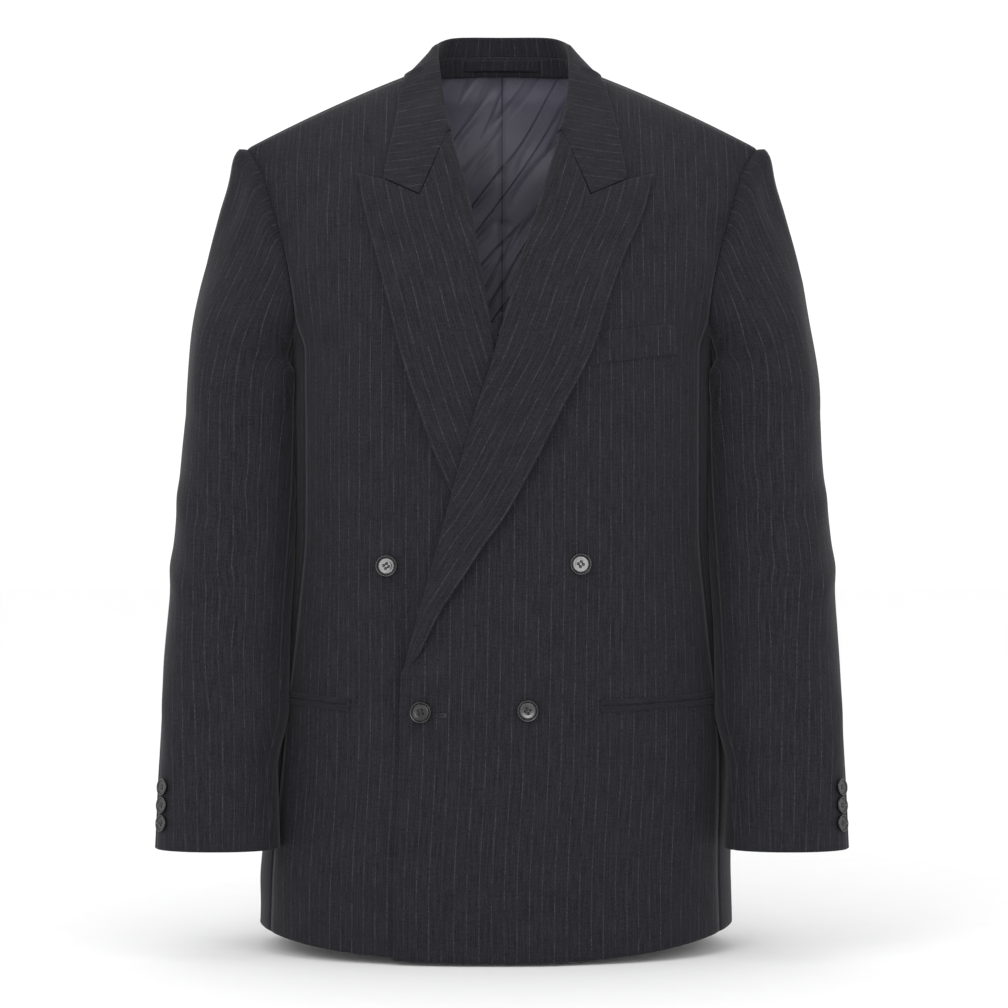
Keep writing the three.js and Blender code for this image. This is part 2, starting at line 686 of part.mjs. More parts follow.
function collarRow(u, hand, share) {
  // Points of one section, from the inner face round to the outer face.
  const inward = new THREE.Vector3(-hand, 0, 0);
  const neck = neckPoint(u, hand, -WALL);
  const shift = neckShift(collar(u, 'cz') - 30);
  const crease = new THREE.Vector3(hand * collar(u, 'cx') + shift, collar(u, 'cy'),
    collar(u, 'cz'));
  const fall = new THREE.Vector3(hand * collar(u, 'fx') + neckShift(collar(u, 'fz')),
    collar(u, 'fy'), collar(u, 'fz'));
  const end = smooth(clamp((u - 10) / 2, 0, 1));
  if (u > 11.99) {
    crease.copy(lapelPoint(hand, 48, GORGE_Z + 2.2, FOLD_MID));
    fall.copy(lapelPoint(hand, COLLAR_TIP.x - 0.2, COLLAR_TIP.z + 0.6, LAPEL_LIFT + LAPEL_WALL));
  }
  const middle = neck.clone().lerp(fall, 0.5);
  const tip = crease.clone().sub(middle).normalize().lerp(inward, end).normalize();
  const across = fall.clone().sub(neck);
  const face = onFront(crease.x, Math.min(crease.z, GORGE_Z), 1)
    .sub(onFront(crease.x, Math.min(crease.z, GORGE_Z), 0));
  across.addScaledVector(tip, -across.dot(tip)).normalize().lerp(face, end);
  across.addScaledVector(tip, -across.dot(tip)).normalize();
  const centre = crease.clone().addScaledVector(tip, -FOLD_R);
  const standTop = centre.clone().addScaledVector(across, -FOLD_R);
  const start = neck.clone().lerp(standTop, share);
  const row = [start.clone(), start.clone().lerp(standTop, 0.33),
    start.clone().lerp(standTop, 0.67)];
  for (const k of spread(FOLD_STEPS - 1)) {
    const turn = Math.PI * k;
    row.push(centre.clone().addScaledVector(across, -FOLD_R * Math.cos(turn))
      .addScaledVector(tip, FOLD_R * Math.sin(turn)));
  }
  const top = row[row.length - 1];
  const pull = Math.pow(clamp((u - 8) / 4, 0, 1), 2);
  for (const t of FALL_STEPS) {
    const p = top.clone().lerp(fall, t);
    const share2 = t < NOTCH_STEP ? t / NOTCH_STEP : 1;
    const share3 = t < NOTCH_STEP ? 0 : (t - NOTCH_STEP) / (1 - NOTCH_STEP);
    const pathX = mix(mix(48 + FOLD_R + 0.4, NOTCH.x + 0.35, share2), COLLAR_TIP.x - 0.2, share3);
    const pathZ = mix(mix(GORGE_Z + 2.2, NOTCH.z + 0.9, share2), COLLAR_TIP.z + 0.6, share3);
    p.x += hand * pull * (pathX - mix(48 + FOLD_R, COLLAR_TIP.x - 0.2, t));
    p.z += pull * (pathZ - mix(GORGE_Z + 2.2, COLLAR_TIP.z + 0.6, t));
    const laid = onFront(p.x, p.z, stack(p.x, p.z, hand) + LAPEL_LIFT + LAPEL_WALL);
    laid.y -= SEAM;
    row.push(clearOfBody(p.lerp(laid, pull), LAPEL_LIFT + LAPEL_WALL, hand));
  }
  return row;
}

function gridNormals(grid, outward) {
  const rows = grid.length;
  const cols = grid[0].length;
  return grid.map((row, r) => row.map((p, c) => {
    const a = grid[r][Math.min(c + 1, cols - 1)].clone().sub(grid[r][Math.max(c - 1, 0)]);
    const b = grid[Math.min(r + 1, rows - 1)][c].clone().sub(grid[Math.max(r - 1, 0)][c]);
    return a.cross(b).normalize().multiplyScalar(outward);
  }));
}

const COLLAR_STATIONS = [
  0, 1, 2, 3, 3.5, 4, 4.5, 5, 5.5, 6, 6.5, 7, 8, 9, 10, 10.8, 11.3, 11.7, 12,
];
const standStart = (u) => BAND_SHARE * (1 - smooth(clamp((u - 6) / 2.5, 0, 1)));

function wholeCollar(makeRow) {
  const right = COLLAR_STATIONS.slice(1).reverse().map((u) => makeRow(u, -1));
  return [...right, ...COLLAR_STATIONS.map((u) => makeRow(u, 1))];
}

const collarFace = wholeCollar((u, hand) => collarRow(u, hand, standStart(u) + 0.015));
const collarNormals = gridNormals(collarFace, -1);
const collarBack = collarFace.map((row, r) => row.map((p, c) => (
  p.clone().addScaledVector(collarNormals[r][c], -LAPEL_WALL))));
add('collar', slab(collarFace, collarBack), CLOTH);

// Collar band: the lower part of the stand, inside the neck, with the hanger loop
const BAND_STATIONS = COLLAR_STATIONS.filter((u) => u <= 7.5);
BAND_STATIONS.push(7.6);

function standFrame(u, hand) {
  // Neck seam point, top of the stand and the way out from the neck.
  const row = collarRow(u, hand, 0);
  const rise = row[2].clone().sub(row[0]);
  const out = row[row.length - 1].clone().sub(row[0]);
  out.addScaledVector(rise, -out.dot(rise) / rise.lengthSq()).normalize();
  return { neck: row[0], rise: rise.multiplyScalar(1 / 0.67), out };
}

function bandGrid(stations, low, high, depth) {
  const make = (u, hand) => {
    const { neck, rise, out } = standFrame(u, hand);
    const top = (high ?? standStart(u)) - (high ? 0 : 0.015);
    return spread(3).map((t) => neck.clone().addScaledVector(rise, mix(low, top, t))
      .addScaledVector(out, depth));
  };
  const right = stations.slice(1).reverse().map((u) => make(u, -1));
  return [...right, ...stations.map((u) => make(u, 1))];
}
add('collar_band', slab(bandGrid(BAND_STATIONS, 0.03, null, 0),
  bandGrid(BAND_STATIONS, 0.03, null, LAPEL_WALL)), CLOTH);

const LOOP_STATIONS = [0, 0.6, 1.2, 1.8];
add('hanger_loop', slab(bandGrid(LOOP_STATIONS, 0.08, 0.4, -0.4),
  bandGrid(LOOP_STATIONS, 0.08, 0.4, -1.6)), CLOTH);

// Welt pocket on the wearer's left chest
const WELT = { lowIn: [71.5, -278.7], highIn: [83.5, -249.3], highOut: [152.9, -240] };
WELT.lowOut = [153.8, -266.4];
const WELT_RISE = 1.3;

function weltGrid(height) {
  return spread(3).map((v) => spread(8).map((u) => {
    const low = [mix(WELT.lowIn[0], WELT.lowOut[0], u), mix(WELT.lowIn[1], WELT.lowOut[1], u)];
    const high = [mix(WELT.highIn[0], WELT.highOut[0], u),
      mix(WELT.highIn[1], WELT.highOut[1], u)];
    const x = mix(low[0], high[0], v);
    const z = mix(low[1], high[1], v);
    const p = onFront(x, z, stack(x, z, 1) + height);
    p.y -= SEAM;
    return p;
  }));
}
add('breast_welt', slab(weltGrid(SEAM + WELT_RISE), weltGrid(SEAM)), CLOTH);

// Jetted hip pockets: a flat ring round each slit
const JET = { inner: 110, outerPhi: 84, zIn: -577, tilt: 5.5, high: 5.5, slit: 0.5, end: 3 };

function jetGeometry(hand) {
  // Four strips round a slit, closed as a ring: rings of four points each.
  const startX = Math.abs(closure(JET.zIn) + hand * JET.inner);
  const startPhi = 180 / Math.PI
    * Math.asin(Math.pow(startX / torso(JET.zIn, 'side'), RING_POWER / 2));
  const along = (phi) => (phi - startPhi) / (JET.outerPhi - startPhi);
  const place = (phi, dz, height) => {
    const z = JET.zIn + JET.tilt * along(phi) + dz;
    const x = hand * seamX(phi, z);
    const p = onSide(phi, z, hand, height + stack(x, z, hand));
    p.y -= SEAM * clamp((SIDE_FRONT + 2 - phi) / 2, 0, 1);
    return p;
  };
  const steps = 12;
  const phis = spread(steps).map((t) => mix(startPhi, JET.outerPhi, t));
  const first = phis[0] + 1.2;
  const last = phis[steps] - 1.2;
  const inside = spread(steps).map((t) => mix(first, last, t));
  const outline = [];
  phis.forEach((phi, i) => outline.push([phi, JET.high, inside[i], JET.slit]));
  phis.slice().reverse().forEach((phi, i) => (
    outline.push([phi, -JET.high, inside[steps - i], -JET.slit])));
  const low = SEAM + 0.1;
  const high = low + 1.2;
  const rings = outline.map(([phi, dz, phi2, dz2]) => [
    place(phi, dz, low), place(phi, dz, high), place(phi2, dz2, high), place(phi2, dz2, low),
  ]);
  return loopBody(rings);
}

function loopBody(rings) {
  // Closed body from equal rings that follow one another and meet again.
  const size = rings[0].length;
  const positions = rings.flat().flatMap((p) => [p.x, p.y, p.z]);
  const index = [];
  for (let i = 0; i < rings.length; i += 1) {
    const j = (i + 1) % rings.length;
    for (let k = 0; k < size; k += 1) {
      const m = (k + 1) % size;
      index.push(i * size + k, i * size + m, j * size + m);
      index.push(i * size + k, j * size + m, j * size + k);
    }
  }
  return closed(positions, index);
}
add('pocket_jets_left', jetGeometry(1), CLOTH);
add('pocket_jets_right', jetGeometry(-1), CLOTH);

// Buttons: turned disc with a rim, a groove and four holes
function solidOf(geometry) {
  const plain = geometry.clone();
  plain.deleteAttribute('normal');
  plain.deleteAttribute('uv');
  const merged = mergeVertices(plain, 1e-4);
  return new Manifold(new Mesh({
    numProp: 3,
    vertProperties: Float32Array.from(merged.attributes.position.array),
    triVerts: Uint32Array.from(merged.index.array),
  }));
}

function geometryOf(solid) {
  const mesh = solid.getMesh();
  return closed(Array.from(mesh.vertProperties), Array.from(mesh.triVerts));
}

const BUTTON_PROFILE = [
  [0, 0], [0.75, 0], [1, 0.27], [0.94, 0.42], [0.84, 0.37], [0.78, 0.28], [0.71, 0.31],
  [0, 0.28],
];
const HOLE_R = 0.11;
const HOLE_AT = 0.168;

function buttonGeometry(diameter, segments) {
  const r = diameter / 2;
  const profile = BUTTON_PROFILE.map(([a, h]) => new THREE.Vector2(a * r, h * r));
  let solid = solidOf(new THREE.LatheGeometry(profile, segments));
  for (const [sx, sy] of [[1, 1], [1, -1], [-1, 1], [-1, -1]]) {
    const hole = new THREE.CylinderGeometry(HOLE_R * r, HOLE_R * r, 2 * r, 6);
    hole.translate(sx * HOLE_AT * r, 0, sy * HOLE_AT * r);
    solid = solid.subtract(solidOf(hole));
  }
  return geometryOf(solid);
}

function placeButton(name, geometry, foot, normal) {
  const mesh = add(name, geometry, HORN);
  mesh.quaternion.setFromUnitVectors(new THREE.Vector3(0, 1, 0), normal);
  mesh.position.copy(foot);
}

const FRONT_BUTTONS = [
  { name: 'button_upper_right', hand: -1, x: -101.1, z: -454.5 },
  { name: 'button_upper_left', hand: 1, x: 67.7, z: -452.7 },
  { name: 'button_lower_fastened', hand: 1, x: -70.1, z: -582.1 },
  { name: 'button_lower_left', hand: 1, x: 22.3, z: -580.4 },
];
const SHANK = 0.6;
const largeButton = buttonGeometry(BUTTON_D, 18);
for (const { name, hand, x, z } of FRONT_BUTTONS) {
  const lift = stack(x, z, hand);
  const foot = onFront(x, z, lift + SHANK);
  foot.y -= SEAM;
  placeButton(name, largeButton, foot, onFront(x, z, 1).sub(onFront(x, z, 0)).normalize());
}

const CUFF_PSI = 33;
const CUFF_TOP_Z = -651;
const cuffButton = buttonGeometry(CUFF_BUTTON_D, 14);
for (const [side, hand] of [['left', 1], ['right', -1]]) {
  for (const i of [0, 1, 2]) {
    const z = CUFF_TOP_Z - i * CUFF_PITCH;
    const at = sleeveRing(CUFF_PSI, z, hand);
    const across = sleeveRing(CUFF_PSI + 1, z, hand).sub(sleeveRing(CUFF_PSI - 1, z, hand));
    const down = sleeveRing(CUFF_PSI, z - 1, hand).sub(sleeveRing(CUFF_PSI, z + 1, hand));
    const n = across.cross(down).normalize().multiplyScalar(hand);
    placeButton(`cuff_button_${side}_${i + 1}`, cuffButton,
      at.addScaledVector(n, SHANK), n);
  }
}

export default group;
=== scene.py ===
# %% [markdown]
# A double breasted blazer, dressed in Blender.
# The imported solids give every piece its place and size. This lesson lays fine cloth over them:
# each panel is worked out as a whole numpy grid from the same tables that shaped the solids,
# then gets soft creases, a wall, a UV map laid out like the flat cloth, and a node material.

# %% Load the frame
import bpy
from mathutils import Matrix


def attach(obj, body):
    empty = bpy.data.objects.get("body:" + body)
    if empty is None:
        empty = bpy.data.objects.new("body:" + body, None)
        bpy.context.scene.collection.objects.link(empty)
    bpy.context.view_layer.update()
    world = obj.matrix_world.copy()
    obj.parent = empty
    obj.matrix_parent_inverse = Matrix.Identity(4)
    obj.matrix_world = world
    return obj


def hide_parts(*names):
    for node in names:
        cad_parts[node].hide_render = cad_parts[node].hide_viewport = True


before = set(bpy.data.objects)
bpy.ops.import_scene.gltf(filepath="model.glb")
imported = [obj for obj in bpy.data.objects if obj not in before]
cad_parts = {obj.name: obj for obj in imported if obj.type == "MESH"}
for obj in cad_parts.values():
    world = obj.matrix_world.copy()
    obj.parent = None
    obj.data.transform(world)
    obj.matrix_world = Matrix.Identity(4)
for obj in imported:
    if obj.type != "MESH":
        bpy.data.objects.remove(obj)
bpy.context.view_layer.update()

import math
import bpy
import numpy as np
from mathutils import Vector

# %% [markdown]
# Helpers for reading short tables. A tailor's measure is a few numbers at a few heights, and the
# cloth runs smoothly through them, so the tables are read with a cubic that never overshoots.

# %% Reading tables smoothly
MM = 0.001


def columns(rows, names):
    """Turns rows of numbers into a dict of arrays, one for each named column."""
    data = np.array(rows, float)
    return {name: data[:, i] for i, name in enumerate(names.split())}


def through(at, xs, ys):
    """Cubic through the points: slopes are harmonic means of the chords, flat beyond the ends."""
    step = np.diff(xs)
    chord = np.diff(ys) / step
    slope = np.concatenate([chord[:1], chord[:-1], chord[-1:]])[: len(xs)]
    both = chord[:-1] * chord[1:]
    total = np.where(chord[:-1] + chord[1:] == 0, 1, chord[:-1] + chord[1:])
    slope[1:-1] = np.where(both > 0, 2 * both / total, 0)
    slope[0], slope[-1] = chord[0], chord[-1]
    i = np.clip(np.searchsorted(xs, at) - 1, 0, len(xs) - 2)
    t = np.clip((at - xs[i]) / step[i], 0, 1)
    a = (1 + 2 * t) * (1 - t) ** 2 * ys[i] + t * (1 - t) ** 2 * step[i] * slope[i]
    b = t * t * (3 - 2 * t) * ys[i + 1] + t * t * (t - 1) * step[i] * slope[i + 1]
    return a + b


def read(table, at, name="x", by="z"):
    """One column of a table, read at places along another."""
    return through(at, table[by], table[name])


def smooth(t):
    """Smooth step: 3 t squared minus 2 t cubed, held between 0 and 1."""
    t = np.clip(t, 0, 1)
    return t * t * (3 - 2 * t)


def mix(a, b, t):
    """Straight mix of a and b."""
    return a + (b - a) * t


def bell(t):
    """Bell curve: e to the power of minus t squared."""
    return np.exp(-t ** 2)


def unit(v):
    """Vectors of length one."""
    return v / np.maximum(np.linalg.norm(v, axis=-1, keepdims=True), 1e-9)


# %% Tables of the jacket, in millimetres
TORSO = columns([
    (-800, 216, 134, 128, -6), (-700, 213, 132, 117, -5), (-600, 208, 130, 108, -4),
    (-500, 197, 129, 103, -3), (-420, 190, 129, 100, -2), (-350, 190, 130, 105, -1),
    (-300, 190.5, 131, 109, 0), (-262, 191, 132, 112, 0), (-240, 198, 132, 113, 0.5),
    (-205, 211, 131, 115, 1), (-155, 224, 130, 117, 2), (-123, 232, 130, 113, 2.5),
    (-72, 240, 130, 102, 3), (60, 240, 130, 100, 3)], "z side front back sway")
CLOSURE = columns([
    (-580, -24), (-450, -17), (-370, -13.7), (-312, -10), (-265, -5.5), (-219, -3.5),
    (-180, -1.4), (-140, 2), (-105, 3), (-70, 3), (40, 1)], "z x")
LAPEL_EDGE = columns([
    (-541, -53), (-514, -42), (-494, -33), (-463, -14.8), (-436, 1), (-410, 18.2),
    (-370, 38.2), (-341, 50.8), (-312, 62.7), (-265, 81.3), (-219, 95.5), (-180, 108.5),
    (-141, 122.9), (-104, 131.5)], "z x")
ROLL = columns([(-546, -63), (-264, 0), (-129, 31), (-66, 48), (-30, 55), (5, 60)], "z x")
STACK = columns([(-610, 3.2), (-548, 6.6), (-262, 6.6), (-200, 3), (-150, 0)], "z lift")
ARMHOLE_FRONT = columns([
    (-235, 187.1), (-205, 190.6), (-155, 202), (-123, 212), (-97, 220), (-72, 235)], "z x")
ARMHOLE_BACK = columns([
    (-227, 186.2), (-200, 193), (-160, 205), (-120, 216), (-90, 228), (-72, 235)], "z x")
NECK_FRONT = columns([
    (-66, 48), (-58, 54), (-48, 60), (-34, 66), (-20, 70), (-8, 73), (1.2, 75)], "z x")
BACK_NECK = columns([
    (0, 86, 9), (20, 84.5, 8.5), (40, 78, 7), (56, 66, 5), (66, 52, 3.5), (72, 37, 2.2),
    (75, 23, 1.2)], "x y z")
HEM_Z, UNDER_HEM_Z, BREAK_Z, GORGE_Z = -800.0, -797.0, -546.0, -66.0
NECK_X, SHOULDER_X, SHOULDER_Z, UNDERARM_Z = 75.0, 235.0, -72.0, -262.0
POWER = 2.3
SIDE_FRONT, SIDE_BACK = 68.0, 115.0
WALL, SEAM = 2.0, 0.3
SIDES = (("left", 1), ("right", -1))
print("chest half width at the underarm:", read(TORSO, -262, "side"), "mm")

# %% [markdown]
# The body of the jacket is one surface. Around the trunk it is a rounded ring, and above the
# chest it eases in to the shoulder seam, the way canvas and padding carry the cloth. Front,
# side and back panels are all cut from this one surface, so their seams meet by themselves.

# %% The body surface


def torso(z, name):
    """One measure of the trunk at a height."""
    return read(TORSO, z, name)


def closure(z):
    """Where the middle of the overlap lies at a height."""
    return read(CLOSURE, z)


def roll_width(z):
    """Half width of the roll line from the middle of the overlap."""
    return read(ROLL, z)


def shoulder_z(x):
    """Height of the shoulder seam: a straight fall with 3 mm of arch."""
    slope = SHOULDER_Z / (SHOULDER_X - NECK_X) - 0.0075
    t = np.clip((x - NECK_X) / (SHOULDER_X - NECK_X), -0.2, 1.05)
    return 1.2 + slope * (x - NECK_X) + 12 * t * (1 - t)


def top_line(x, back):
    """Height and depth of a panel's top edge: neck seam on the back, then the shoulder seam."""
    z = shoulder_z(x)
    y = mix(20, 5, np.clip((x - NECK_X) / (SHOULDER_X - NECK_X), 0, 1)) + 3
    if back:
        neck = x < NECK_X
        z = np.where(neck, read(BACK_NECK, x, "z", "x"), z)
        y = np.where(neck, read(BACK_NECK, x, "y", "x"), y)
    return z, y


def drape(x, z, ring_y, face, back):
    """Depth of the cloth: it leaves the top edge, rolls over it, and reaches the ring below."""
    top_z, top_y = top_line(x, back)
    drop = np.maximum(top_z - z, 0)
    reach = 65 + 0.6 * x if back else 315.0
    base = 1 - (1 - np.minimum(drop / reach, 1)) ** 2.15
    slow = mix(5, 1, np.minimum(1, x / NECK_X)) if back else 1.0
    roll = (9 if back else -9) * face * (1 - np.exp(-drop / (6 * slow)))
    if back:
        return mix(top_y, ring_y, base) + roll + torso(z, "sway") * base
    return (top_y - 3) * np.exp(-drop / 60) + ring_y * base + roll + torso(z, "sway")


def body_y(x, z, back):
    """Depth of the front or back at a place seen from the front: the ring, then the drape."""
    ax = np.abs(x)
    face = (1 - np.clip(ax / torso(z, "side"), 0, 1) ** POWER) ** (1 / POWER)
    ring = torso(z, "back") * face if back else -torso(z, "front") * face
    return drape(ax, z, ring, face, back)


def on_body(x, z, height, back=False):
    """Points of the front or back, moved out along the normal; one shared normal at the seam."""
    step = 0.4
    fx = (body_y(x + step, z, back) - body_y(x - step, z, back)) / (2 * step)
    fz = (body_y(x, z, back) - body_y(x, z - step, back)) / step
    sign = -1.0 if back else 1.0
    n = unit(np.stack([sign * fx, -sign * np.ones_like(fx), sign * fz], -1))
    drop = top_line(np.abs(x), back)[0] - z
    near = np.where(np.abs(x) > NECK_X - 1, np.clip(1 - drop / 12, 0, 1) ** 2, 0)[..., None]
    ridge = np.stack([0.43 * np.sign(x), 0 * x, 0 * x + 1], -1) / math.hypot(0.43, 1)
    n = unit(n * (1 - near) + ridge * near)
    y = body_y(x, z, back) + (SEAM if back else -SEAM)
    return np.stack([x, y, z], -1) + n * np.asarray(height)[..., None]


def seam_x(phi, z):
    """Distance from the middle at an angle round the ring: 0 the front, 180 the back."""
    return torso(z, "side") * np.abs(np.sin(np.radians(phi))) ** (2 / POWER)


def stack(x, z, hand):
    """How far the upper front stands off, to clear the under front and lapel."""
    if hand < 0:
        return np.zeros(np.broadcast(x, z).shape)
    beyond = x - closure(z)
    return np.interp(z, STACK["z"], STACK["lift"]) * (1 - smooth((beyond - 65) / 55))


def hung(points):
    """The skirt swings to the wearer's right, and its hem rises towards the sides."""
    out = points.copy()
    swing = smooth((-600 - points[..., 2]) / 150)
    low = smooth((-700 - points[..., 2]) / 100)
    out[..., 2] += 20 * low * (np.abs(points[..., 0]) / 216) ** 2.6
    out[..., 0] -= 6 * swing
    return out


def surface_normals(grid):
    """Unit normals of a grid: the cross product of its two directions."""
    return unit(np.cross(np.gradient(grid, axis=0), np.gradient(grid, axis=1)))


def lengths(grid, axis):
    """Running length along one direction of a grid, in metres."""
    step = np.linalg.norm(np.diff(grid, axis=axis), axis=-1)
    zero = np.zeros_like(np.take(step, [0], axis=axis))
    return np.concatenate([zero, np.cumsum(step, axis=axis)], axis=axis) * MM


print("shoulder seam at the neck and at the sleeve:", shoulder_z(NECK_X), shoulder_z(SHOULDER_X))

# %% [markdown]
# Cloth never hangs dead flat. It breaks into soft folds where it is pulled, and between them it
# wanders by fractions of a millimetre. Both are plain sums over the whole grid: a bell across a
# line for each fold, and slow crossing waves for the wandering.

# %% Folds and slow waves


def folds(s, t, rows):
    """Sum of soft folds: a bell across a line from s0,t0 to s1,t1 that fades at both ends."""
    total = np.zeros(np.broadcast(s, t).shape)
    for s0, t0, s1, t1, width, height in rows:
        ds, dt = s1 - s0, t1 - t0
        length = math.hypot(ds, dt)
        along = ((s - s0) * ds + (t - t0) * dt) / length ** 2
        bow = 0.04 * length * np.sin(np.pi * np.clip(along, 0, 1) * 1.7)
        across = ((s - s0) * dt - (t - t0) * ds) / length + bow
        total += height * bell(across / width) * smooth(
            np.minimum(along, 1 - along) / 0.35)
    return total


def waves(s, t, seed, size):
    """Slow unevenness between about -1 and 1: six crossing sine waves of random lean."""
    rng = np.random.default_rng(seed)
    total = np.zeros(np.broadcast(s, t).shape)
    for _ in range(6):
        lean, turn = rng.uniform(0, math.pi), rng.uniform(0, 6.3)
        pitch = size * rng.uniform(0.6, 1.7)
        total += np.sin((s * math.cos(lean) + t * math.sin(lean)) * 2 * math.pi / pitch + turn)
    return total / 3


print("a fold at its middle:", float(folds(np.array(0.0), np.array(50.0),
                                           [(0, 0, 0, 100, 10, 2)])))

# %% [markdown]
# Each panel becomes a thin closed shell: an outer grid, an inner grid, and a rounded rim row
# between them, so a cut edge looks turned in and pressed instead of sawn. The UV map is laid
# out in metres like the flat cloth on the cutting table, so stripes and weave keep their size.


def mesh_object(name, points, faces, uv, look, caps=()):
    """Object at the origin from points in millimetres, quads, one UV a point, and end caps."""
    mesh = bpy.data.meshes.new(name)
    mesh.from_pydata((points * MM).tolist(), [], faces.tolist() + [list(c) for c in caps])
    corners = np.concatenate([faces.ravel(), *[np.array(c, int) for c in caps]])
    layer = mesh.uv_layers.new(name="cloth")
    layer.uv.foreach_set("vector", uv[corners].astype(np.float32).ravel())
    mesh.polygons.foreach_set("use_smooth", np.ones(len(mesh.polygons), bool))
    mesh.materials.append(look)
    mesh.update()
    piece = bpy.data.objects.new("visual_" + name.replace(" ", "_"), mesh)
    bpy.context.scene.collection.objects.link(piece)
    return piece


RIM_BULGE = 0.35


def shell_arrays(outer, inner, uv):
    """Points, quads and UVs of a closed shell; the rim's middle row stands out by the bulge."""
    rows, cols = outer.shape[:2]
    count = rows * cols
    n = np.arange(count).reshape(rows, cols)
    rim = np.concatenate([n[0, :-1], n[:-1, -1], n[-1, :0:-1], n[:0:-1, 0]])
    inset = n[np.ix_(np.r_[1, 1:rows - 1, rows - 2], np.r_[1, 1:cols - 1, cols - 2])]
    inset = np.concatenate([inset[0, :-1], inset[:-1, -1], inset[-1, :0:-1], inset[:0:-1, 0]])
    a, b = outer.reshape(-1, 3), inner.reshape(-1, 3)
    thick = np.linalg.norm(a[rim] - b[rim], axis=1, keepdims=True)
    middle = (a[rim] + b[rim]) / 2 + unit(a[rim] - a[inset]) * thick * RIM_BULGE
    corner = n[:-1, :-1].ravel()
    top = np.stack([corner, corner + 1, corner + cols + 1, corner + cols], 1)
    mid = 2 * count + np.arange(len(rim))
    faces = [top, top[:, ::-1] + count]
    for one, two in ((rim, mid), (mid, rim + count)):
        faces.append(np.stack([np.roll(one, -1), one, two, np.roll(two, -1)], 1))
    flat_uv = uv.reshape(-1, 2)
    return (np.concatenate([a, b, middle]), np.concatenate(faces),
            np.concatenate([flat_uv, flat_uv, flat_uv[rim]]))


def facing_out(points, faces):
    """Turns every face round if the signed volume of the shell is negative."""
    p = points[faces]
    volume = np.einsum("ij,ij->", p[:, 0], np.cross(p[:, 1], p[:, 2]))
    volume += np.einsum("ij,ij->", p[:, 0], np.cross(p[:, 2], p[:, 3]))
    return faces if volume > 0 else faces[:, ::-1]


def shell(name, outer, inner, uv, look):
    """A cloth piece from its outer and inner grids."""
    points, faces, uvs = shell_arrays(outer, inner, uv)
    return mesh_object(name, points, facing_out(points, faces), uvs, look)


def dress(piece, slot, *nodes):
    """Fixes the piece to the one body, in place of its solids."""
    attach(piece, "root")
    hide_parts(*nodes)


def cloth(name, outer, inner, uv, look=None, slot="wool_suiting"):
    """A finished panel: shell and place on the body; its solid has its name."""
    piece = shell(name, outer, inner, uv, look or WOOL)
    dress(piece, slot, name.replace(" ", "_"))


def shares(length, cell=1.0):
    """Even shares from 0 to 1, so that a length is cut into cells of the cloth's grid."""
    return np.linspace(0, 1, int(round(length / (GRAIN * cell))) + 1)


def steps_along(values, size):
    """Places along a list of knots so that steps are about one size apart."""
    run = np.concatenate([[0], np.cumsum(np.abs(np.diff(values)))])
    count = max(2, int(round(run[-1] / size)))
    return np.interp(np.linspace(0, run[-1], count + 1), run, np.arange(len(values)))


GRAIN = 4.0
print("cloth grids are", GRAIN, "mm a cell")

# %% [markdown]
# Materials. The suiting is charcoal worsted wool: dark dyed yarns with a few paler fibres, a
# twill line too fine to count, and a chalky pinstripe woven in as single pale ends, so the
# stripe breaks into dots. The shared effects are node groups that only put out masks and
# heights; the shader stays in each material.

# %% Node helpers
COLOUR, VALUE, VECTOR = "NodeSocketColor", "NodeSocketFloat", "NodeSocketVector"


class Graph:
    """Short calls for one node tree: sockets and numbers go in, a socket comes out."""

    def __init__(self, tree):
        self.tree = tree

    def put(self, node, socket, value):
        """Links a socket, or sets a number, colour or vector."""
        slot = node.inputs[socket]
        if isinstance(value, bpy.types.NodeSocket):
            self.tree.links.new(value, slot)
        else:
            slot.default_value = value

    def node(self, kind, values, **settings):
        """A node with its settings, and its sockets filled in order or by name."""
        made = self.tree.nodes.new("ShaderNode" + kind)
        for key, value in settings.items():
            setattr(made, key, value)
        for socket, value in values.items() if isinstance(values, dict) else enumerate(values):
            self.put(made, socket, value)
        return made

    def math(self, operation, *values):
        """One arithmetic step."""
        return self.node("Math", values, operation=operation).outputs[0]

    def add(self, first, *others):
        """Sum of the parts, from the first on."""
        for other in others:
            first = self.math("ADD", first, other)
        return first

    def times(self, first, *others):
        """Product of the parts, from the first on."""
        for other in others:
            first = self.math("MULTIPLY", first, other)
        return first

    def noise(self, vector, scale=1.0, detail=2.0, rough=0.5, spread=None):
        """Noise between 0 and 1 at a scale in cells a unit; spread scales each axis first."""
        if spread:
            vector = self.node("VectorMath", (vector, spread), operation="MULTIPLY").outputs[0]
        return self.node("TexNoise", {"Vector": vector, "Scale": scale, "Detail": detail,
                                      "Roughness": rough}).outputs["Fac"]

    def limits(self, *values):
        """Smooth ramp of a value from one range to another, or to 0 and 1."""
        return self.node("MapRange", values, interpolation_type="SMOOTHSTEP").outputs[0]

    def blend(self, share, a, b):
        """Mix of two colours."""
        return self.node("Mix", {0: share, 6: a, 7: b}, data_type="RGBA").outputs[2]

    def split(self, vector):
        """The parts of a vector."""
        return self.node("SeparateXYZ", (vector,)).outputs

    def object_place(self):
        """Place on the piece's own object."""
        return self.node("TexCoord", ()).outputs["Object"]

    def uv_place(self):
        """The piece's own UV map, in metres of flat cloth."""
        return self.node("UVMap", (), uv_map="cloth").outputs[0]


def tint(red, green, blue):
    """Opaque colour."""
    return red, green, blue, 1


